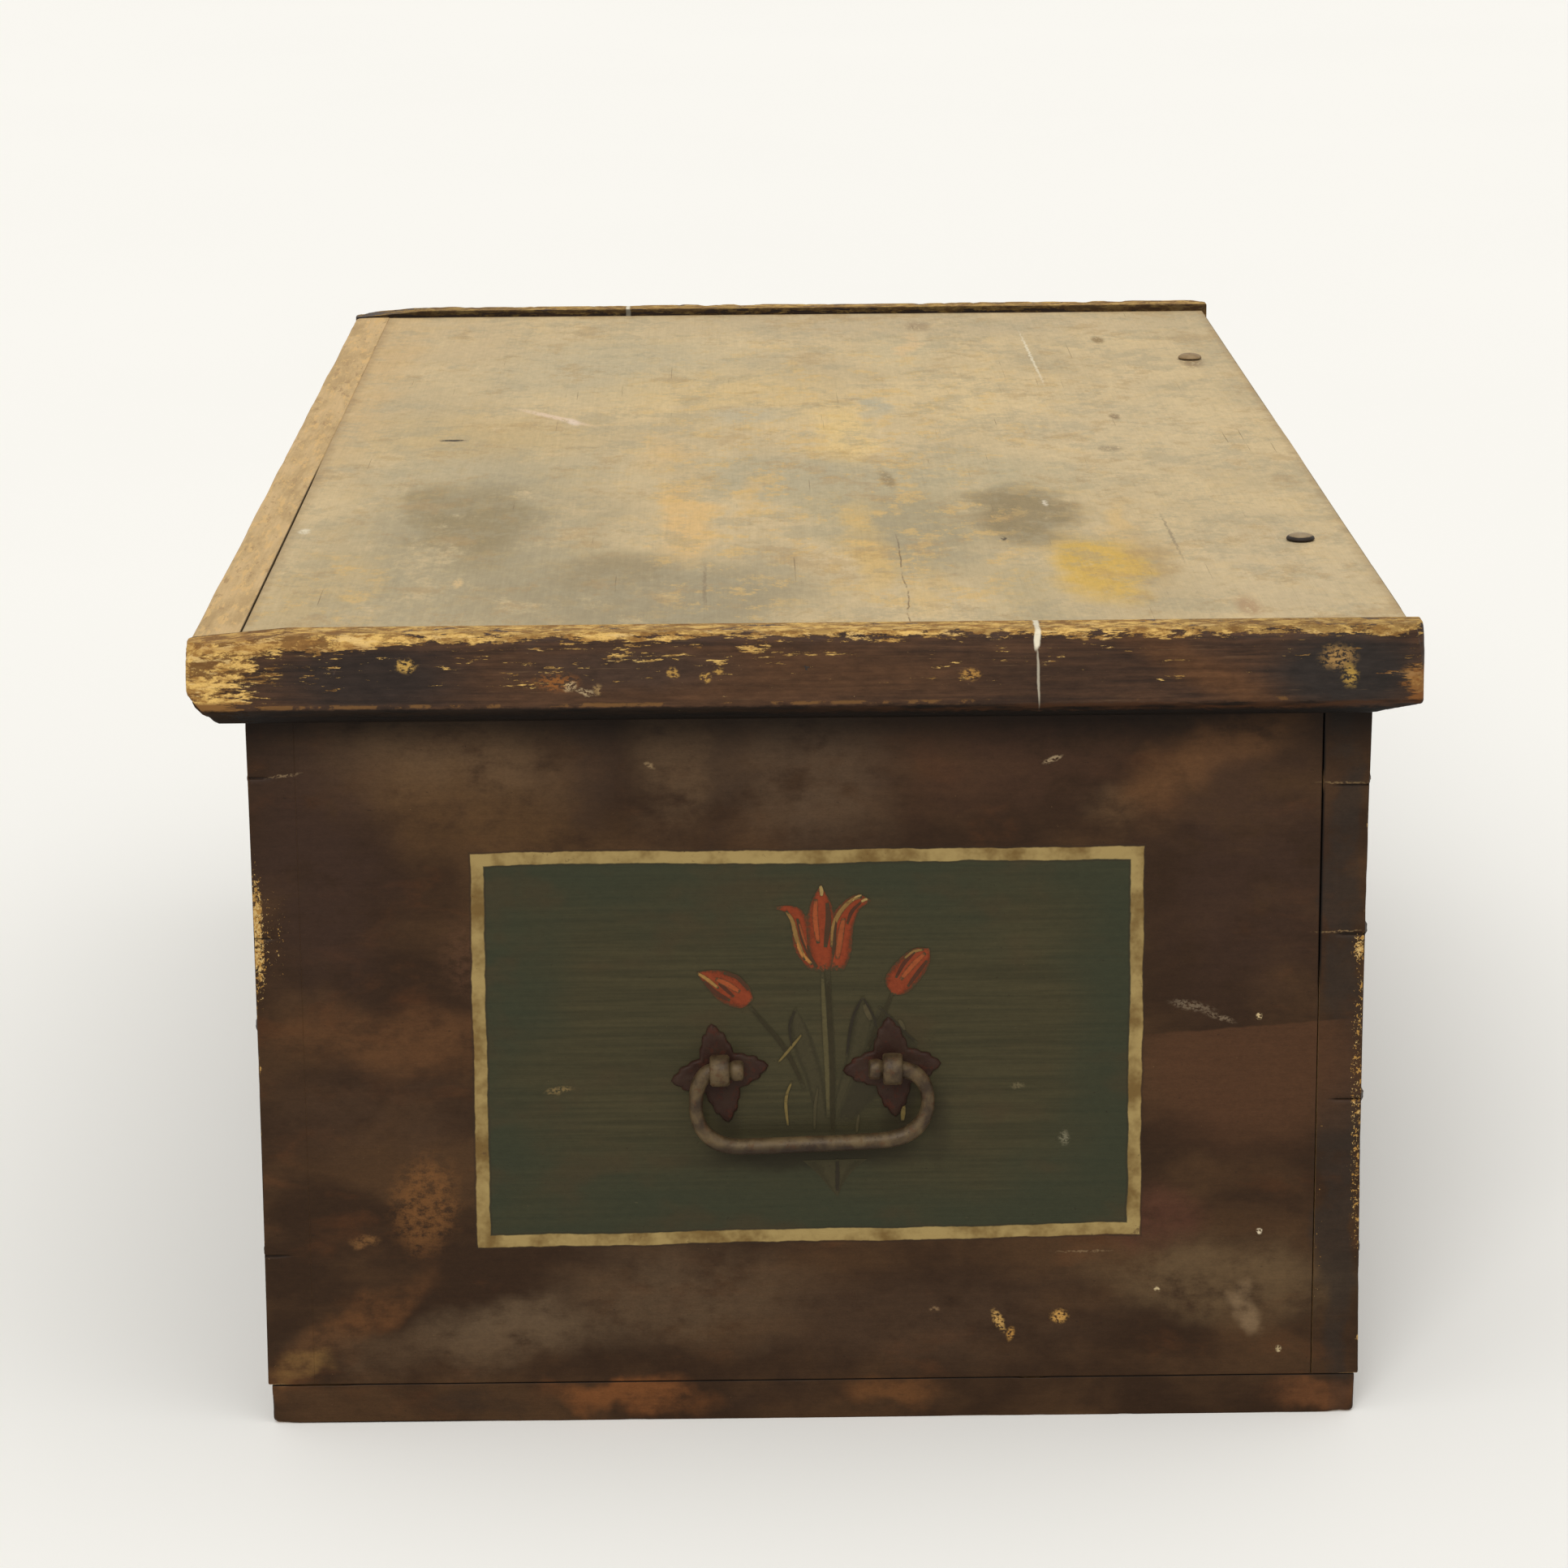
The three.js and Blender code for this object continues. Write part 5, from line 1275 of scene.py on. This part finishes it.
def plate_outline(count):
    """Four pointed leaves with a little tooth along each side"""
    outline = []
    for quarter in range(4):
        reach, across = PLATE_HALF[quarter % 2], PLATE_HALF[(quarter + 1) % 2]
        waist = np.array([reach, across]) * PLATE_WAIST_SHARE
        corners = (np.array([reach, 0.0]), waist, np.array([0.0, across]))
        for start, end in zip(corners, corners[1:]):
            for t in np.linspace(0, 1, count, endpoint=False):
                swell = (start + end) / 2 + PLATE_SWELL
                spot = (1 - t) ** 2 * start + 2 * t * (1 - t) * swell + t**2 * end
                tooth = PLATE_TOOTH * abs(math.sin(t * math.pi * 3)) * math.sin(t * math.pi)
                spot = spot * (1 + tooth / max(np.linalg.norm(spot), 1))
                outline.append(turned(spot, -quarter * math.pi / 2))
    return np.array(outline)


def plate(side_name, wall, material):
    side = SIDES[side_name]
    node = f"handle_plate_{side_name}_{wall}"
    low, high = node_box(node)
    rim = plate_outline(count=14)
    count, rows = len(rim), len(PLATE_RINGS)
    points, heights = [], []
    for share in PLATE_RINGS:
        spots = rim * share
        vein = 0.5 * np.exp(-(np.abs(spots).min(axis=1) / 1.3) ** 2) * (share > 0.3) * (1 - share)
        heights.append(np.clip(1.75 * (1 - 0.85 * max(0, (share - 0.9) / 0.1) ** 2) + vein, 0.2, 2.2))
        points.append(spots)
    turn = -math.radians(PLATE_TURN[wall])
    top = np.column_stack([np.concatenate(heights), turned(np.concatenate(points), turn)])
    back = np.column_stack([np.zeros(count), turned(rim, turn)])
    every = np.vstack([top, back, (1.8, 0, 0), (0, 0, 0)])
    centre, under = len(every) - 2, len(every) - 1
    faces = ring_faces(rows, count)
    faces += [[centre, k, (k + 1) % count] for k in range(count)]
    faces += [[under, rows * count + (k + 1) % count, rows * count + k] for k in range(count)]
    every[:, 0] += 0.12 * relief(every * (0, 1, 1), (7, 7, 7), 99 + side) * (every[:, 0] > 0.3)
    every[:, 0] = np.clip(every[:, 0], 0, 2.2)
    middle = (low + high) / 2
    # the pair hangs askew, so one plate is higher than the other
    middle[2] += side * (middle[1] - bail_axis(side_name)[0]) * math.tan(HANDLE_TILT)
    placed = every * (side, side, 1) + (side * (CASE_END + 0.15), *middle[1:])
    add_mesh(node + "_forged", placed, faces, [material], "case", (node,))


def dress_straps(material):
    """Straps and pins keep their CAD shape, with their arrises taken off"""
    for side_name in SIDES:
        for kind in ("lid_strap", "back_strap", "pin"):
            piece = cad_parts[f"hinge_{kind}_{side_name}"]
            piece.data.materials.clear()
            piece.data.materials.append(material)
            arris = piece.modifiers.new("arris", "BEVEL")
            arris.width = 0.5 * MM
            arris.segments = 2
            arris.limit_method = "ANGLE"
            arris.angle_limit = math.radians(35)


# The tulips, from the end's middle and the floor

RED = (122, 53, 29)
RED_DARK = (78, 32, 22)
RED_LIGHT = (156, 74, 38)
YELLOW = (158, 116, 60)
PALE = (160, 132, 80)
STEM = (46, 40, 25)
STEM_LIGHT = (80, 72, 46)
LEAF = (60, 54, 36)
LEAF_DARK = (40, 34, 26)
LEAF_LIGHT = (74, 65, 44)
OCHRE_LINE = (110, 93, 52)
# Each patch: its left and right sides, its colour, how well it covers, and how dark its rim is
PATCHES = (
    (((-7.7, 220.2), (-10.6, 211.7), (-9, 198), (-3, 182), (2, 160)), ((-7.7, 220.2), (-1.6, 209.1), (3,
     196), (6, 182), (8, 160)), LEAF, 0.7, 0.9),
    (((25.9, 225.8), (20.1, 211.4), (17.6, 196), (13, 178), (9, 160)), ((25.9, 225.8), (31.5, 213), (30,
     200), (21, 182), (12, 160)), LEAF, 0.7, 0.9),
    (((34, 220.6), (29, 208), (24, 192), (16, 172), (11, 158)), ((34, 220.6), (45, 208), (53.6, 200), (40,
     180), (18, 158)), LEAF_DARK, 0.4, 0.6),
    (((-5, 139.4), (1, 134), (6, 128), (12.4, 120)), ((28, 139.9), (22, 135), (17, 129), (12.8, 120)), LEAF,
     0.7, 0.9),
    (((-6.5, 269), (-6.4, 258), (-3.4, 248), (2, 239.6)), ((19, 269), (18, 257), (15.4, 247), (11, 239.2)),
     RED, 0.95, 0.2),
    (((-17.9, 271.9), (-12, 269.6), (-9.8, 262), (-8.4, 251), (-1, 239.8)), ((-17.9, 273.3), (-10.2, 273.8),
     (-3.9, 270.5), (-0.3, 258), (5.4, 239.6)), RED, 1.0, 0.5),
    (((29.9, 276.6), (22.5, 279.4), (12.2, 271), (7.8, 257.8), (6.6, 240.4)), ((29.9, 275), (24.4, 271.2),
     (21.4, 262), (20.2, 249), (16.6, 239.2)), RED, 1.0, 0.5),
    (((4.8, 284.4), (0.4, 276), (-2, 266), (-1.6, 252), (2.4, 239)), ((5, 284.4), (9.6, 276), (12.4, 266),
     (12.4, 252), (9.6, 239)), RED, 1.0, 0.5),
    (((-57.8, 239.2), (-52, 230.8), (-46, 224.1), (-36, 220.2), (-29.8, 223.8)), ((-57.4, 239.6), (-49,
     240.6), (-40.2, 239.2), (-32, 233), (-29, 225.4)), RED, 0.95, 0.7),
    (((59.4, 251), (51, 250.6), (42.4, 243.4), (37, 234.6), (40.4, 227)), ((59.8, 250.2), (59.4, 242.2),
     (54.2, 233.6), (47.8, 227.2), (41.6, 226.4)), RED, 0.95, 0.7),
)
# Lines: their points, their width, colour and cover
LINES = (
    (((8.4, 240), (9.1, 214), (10.2, 184), (10.6, 150)), 3.4, STEM, 0.9),
    (((5.6, 239), (6.5, 214), (7.6, 190), (8.2, 162)), 2.5, STEM_LIGHT, 0.85),
    (((12.6, 140), (12.7, 131), (12.5, 122)), 2.2, LEAF_DARK, 0.8),
    (((-31.4, 221.8), (-24, 212.4), (-18, 205), (-12, 196), (-4, 178)), 2.4, STEM, 0.85),
    (((40.6, 227.4), (37.4, 219), (34, 212), (28, 198)), 2.2, STEM, 0.85),
    (((25.9, 225.8), (22, 218), (19.4, 208), (17.6, 194)), 1.6, LEAF_DARK, 0.9),
    (((25.9, 225.8), (31, 216), (33.5, 207)), 1.4, LEAF_DARK, 0.85),
    (((34, 220.6), (41, 213.5), (48, 206), (53.6, 201)), 1.5, LEAF_DARK, 0.7),
    (((-7.7, 220.2), (-11, 211.5), (-10, 200)), 1.4, LEAF_DARK, 0.8),
    (((26.5, 222), (28, 218), (30, 213.4)), 2.6, LEAF_LIGHT, 0.8),
    (((44, 213.6), (45.6, 211), (46.9, 208)), 2.1, LEAF_LIGHT, 0.75),
    (((-4.9, 206.4), (-10.4, 199.4), (-17, 191.6)), 1.5, OCHRE_LINE, 0.8),
    (((-10, 181.5), (-12.6, 175), (-13.2, 168), (-12.2, 158)), 1.6, OCHRE_LINE, 0.85),
    (((45.6, 171.6), (46.2, 166), (45.8, 160)), 2.4, OCHRE_LINE, 0.85),
    (((23.8, 163.8), (23, 159), (22.6, 154)), 1.5, LEAF_LIGHT, 0.6),
    (((3, 178), (1.6, 168), (1.2, 156)), 1.5, LEAF_LIGHT, 0.45),
    (((-6.8, 267), (-4.4, 257), (-0.4, 247), (3, 241.6)), 2.0, RED_DARK, 0.4),
    (((12.6, 267), (11.4, 256), (11.2, 248)), 1.8, RED_DARK, 0.35),
    (((8.2, 275), (8.8, 266), (7.2, 252)), 2.6, RED_DARK, 0.4),
    (((2.6, 277), (2.2, 267), (3.6, 254)), 2.6, RED_LIGHT, 0.75),
    (((16.4, 267), (14.8, 258), (13.2, 246)), 3.0, RED_LIGHT, 0.65),
    (((-6.2, 265), (-4.2, 257), (-1.4, 249)), 2.0, RED_LIGHT, 0.6),
    (((-12.6, 271), (-9.4, 266), (-7, 256), (-3, 245.4)), 2.3, YELLOW, 0.5),
    (((-7.6, 258), (-4.6, 249), (0.4, 243)), 2.2, (190, 126, 62), 0.6),
    (((10.4, 252), (11.4, 263), (15.2, 271), (21, 276.6), (25.6, 278)), 2.3, YELLOW, 0.5),
    (((18.2, 264), (20.6, 270.4), (25, 275)), 1.6, RED_DARK, 0.6),
    (((25.2, 275.4), (27, 276.4), (28.6, 276.8)), 1.5, PALE, 0.85),
    (((20.6, 275.8), (22.8, 277.8), (25.6, 278.8)), 1.5, PALE, 0.85),
    (((4.9, 284), (5.4, 281.4), (5.4, 278.6)), 2.0, PALE, 0.8),
    (((-57.4, 239.2), (-52.6, 236), (-46.6, 231)), 1.8, YELLOW, 0.7),
    (((-54, 234.6), (-48, 228.6), (-41, 224.6)), 2.2, RED_DARK, 0.6),
    (((-48, 236), (-42, 233), (-36, 229)), 2.8, RED_LIGHT, 0.75),
    (((-44, 239), (-37, 236.6), (-31.6, 230)), 2.0, RED_DARK, 0.45),
    (((-46.6, 233.4), (-42.6, 230), (-39, 226.6)), 1.6, RED_DARK, 0.7),
    (((57.4, 248.4), (51, 242), (45, 234.6)), 2.6, RED_LIGHT, 0.7),
    (((52, 249), (46.6, 243), (42.6, 235.6)), 1.8, RED_DARK, 0.7),
    (((58.2, 244.4), (53.2, 237.6), (48.6, 231)), 1.8, RED_DARK, 0.6),
    (((56.6, 250.2), (51.6, 249.2), (46.8, 245.6)), 1.6, YELLOW, 0.45),
)
# The first stroke's height over the board, how much higher each next one lies, and up to which one
STROKE_BASE, STROKE_STEP, STROKE_LEVELS = 0.06, 0.035, 14
STROKE_ROWS, STROKE_COLUMNS = 18, 7
LINE_ROWS = 9
LINE_RIM = 0.2


def resampled(points, count):
    """The curve through the points, as evenly spaced ones"""
    curve = curve_through(points, steps=8)
    along = lengths_along(curve)
    places = np.linspace(0, along[-1], count)
    return np.column_stack([np.interp(places, along, curve[:, axis]) for axis in (0, 1)])


def stroke_patch(left, right, colour, cover, rim, level):
    """Points (u, v, height) and faces of one stroke, with its values"""
    rows, columns = STROKE_ROWS, STROKE_COLUMNS
    shares = np.linspace(0, 1, columns)
    across = shares[None, :, None]
    flat = resampled(left, rows)[:, None] * (1 - across) + resampled(right, rows)[:, None] * across
    dome = 0.03 * (1 - (2 * shares - 1) ** 2)
    height = np.broadcast_to(STROKE_BASE + STROKE_STEP * level + dome, (rows, columns))
    points = np.dstack([flat, height]).reshape(-1, 3)
    along = np.repeat(np.linspace(0, 1, rows), columns)
    values = {
        "across": np.tile(2 * shares - 1, rows),
        "along": np.minimum(along, 1 - along) * 2,
        "cover": np.full(rows * columns, cover),
        "rim": np.full(rows * columns, rim),
        "stroke": np.tile(rgb(*colour), (rows * columns, 1)),
    }
    return points, ring_faces(rows - 1, columns, wrap=False), values


def line_sides(points, width):
    """The two sides of a brush line that swells in its middle"""
    path = resampled(points, LINE_ROWS)
    ahead = unit_tangents(path)
    aside = np.column_stack([-ahead[:, 1], ahead[:, 0]])
    swell = (0.45 + 0.55 * np.sin(np.linspace(0.25, math.pi - 0.25, LINE_ROWS)))[:, None] * width * 0.55
    return path + aside * swell, path - aside * swell


def tulips(name, material, place):
    """The bunch of three tulips on a face. Place turns (u, v, height) into a point of the chest."""
    strokes = list(PATCHES)
    for route, width, colour, cover in LINES:
        strokes.append((*line_sides(route, width), colour, cover, LINE_RIM))
    made = [stroke_patch(*stroke, min(level, STROKE_LEVELS)) for level, stroke in enumerate(strokes)]
    points, faces = joined([(points, faces) for points, faces, _ in made])
    values = {key: np.concatenate([numbers[key] for *_, numbers in made]) for key in made[0][2]}
    add_mesh(name, place(points), faces, [material], "case", values=values)


def end_place(side):
    def place(spots):
        x, y = np.full(len(spots), side * CASE_END), side * spots[:, 0] + MID_Y
        flat = np.column_stack([x, y, spots[:, 1]])
        flat[:, 0] += side * (end_relief(flat, side) + spots[:, 2])
        return flat
    return place


def front_place(middle):
    def place(spots):
        depth = node_box("front_board")[0][1] + wall_hollow(spots[:, 1], "front") - spots[:, 2]
        return np.column_stack([spots[:, 0] + middle, depth, spots[:, 1]])
    return place


# The whole chest

def add_floor():
    half = FLOOR_SIZE * MM / 2
    mesh = bpy.data.meshes.new("floor")
    corners = [(-half, -half, 0), (half, -half, 0), (half, half, 0), (-half, half, 0)]
    mesh.from_pydata(corners, [], [[0, 1, 2, 3]])
    mesh.materials.append(floor_finish())
    floor = linked("floor", mesh)


def build_wood():
    ends = {name: end_paint(f"end_paint_{name}", side) for name, side in SIDES.items()}
    front = long_paint("front_paint", FRONT_FRAMES, seed=61, wear_seed=110, gloss_seed=115)
    back = long_paint("back_paint", (), seed=121, wear_seed=126, gloss_seed=130)
    inside_long = bare_wood("inside_wood_long", ("x", "z", "y"), (168, 136, 92), (140, 106, 66), seed=231)
    inside_short = bare_wood("inside_wood_short", ("y", "z", "x"), (164, 132, 90), (136, 104, 66), seed=241)
    base = bare_wood("bottom_wood", ("y", "x", "z"), (146, 116, 80), (112, 84, 54), seed=251)
    under = bare_wood("lid_underside", ("x", "y", "z"), (178, 146, 100), (146, 112, 70), seed=261)
    for side_name in SIDES:
        end_board(side_name, ends[side_name], inside_short)
    long_board("front", front, ends, inside_long)
    long_board("back", back, ends, inside_long)
    for index in range(1, 7):
        bottom_board(index, ends, base, front, back)
    top, edge_wood = lid_top("lid_top"), batten_wood("lid_edge")
    lid_board(top, under, edge_wood)
    batten(edge_wood)
    for side_name, side in SIDES.items():
        cleat(side_name, cleat_paint(f"cleat_paint_{side_name}", side))


def build_iron():
    hinge = iron("hinge_iron", (44, 36, 32), (62, 50, 42), (78, 50, 34), seed=271)
    plates = iron("plate_iron", (46, 28, 21), (52, 36, 27), (68, 33, 21), seed=281,
                  metallic=0.0, specular=0.12)
    grip = bail_axis("right")[1] + BAIL_ROUTES["front"][-1][1]
    rod = iron("bail_iron", (52, 39, 26), (88, 72, 48), (76, 48, 27), seed=291,
               metallic=0.2, specular=0.25, grip=grip)
    nails = iron("nail_iron", (38, 32, 28), (58, 48, 40), (70, 46, 30), seed=301)
    dress_straps(hinge)
    crowns = {"right": rivet_iron("rivet_iron_right", (128, 108, 80), (172, 152, 118), start=417.7),
              "left": rivet_iron("rivet_iron_left", (122, 98, 68), (168, 144, 106), start=415.8)}
    for side_name, side in SIDES.items():
        rivet(side_name, crowns[side_name])
        bail(side_name, rod)
        for wall, out in WALLS.items():
            eye(side_name, wall, rod)
            plate(side_name, wall, plates)
            for index in range(1, 5 if wall == "back" else 4):
                nail(f"corner_nail_{wall}_{side_name}_{index}", (1, out), "case", nails, depth=1.2)
        for index in (1, 2):
            nail(f"back_strap_nail_{side_name}_{index}", (1, 1), "case", nails)
        nail(f"lid_strap_nail_{side_name}", (2, -1), "lid", nails)
        for index in (1, 2, 3):
            nail(f"cleat_nail_{side_name}_{index}", (0, side), "lid", nails, depth=0.6, head=3.4, height=1.2)
    for index in (1, 2):
        nail(f"batten_nail_{index}", (1, -1), "lid", nails, depth=0.6, head=3.6, height=1.2)


def paint_tulips():
    stroke = brush_paint("brush_strokes")
    for side_name, side in SIDES.items():
        tulips(f"tulips_{side_name}", stroke, end_place(side))
    for count, middle in enumerate(FRONT_FRAMES):
        tulips(f"tulips_front_{count + 1}", stroke, front_place(middle))


add_camera()
add_world()
add_sun("key", **KEY_LIGHT)
add_sun("top", **TOP_LIGHT)
add_floor()
build_wood()
build_iron()
paint_tulips()
bpy.context.scene.view_settings.view_transform = "Standard"
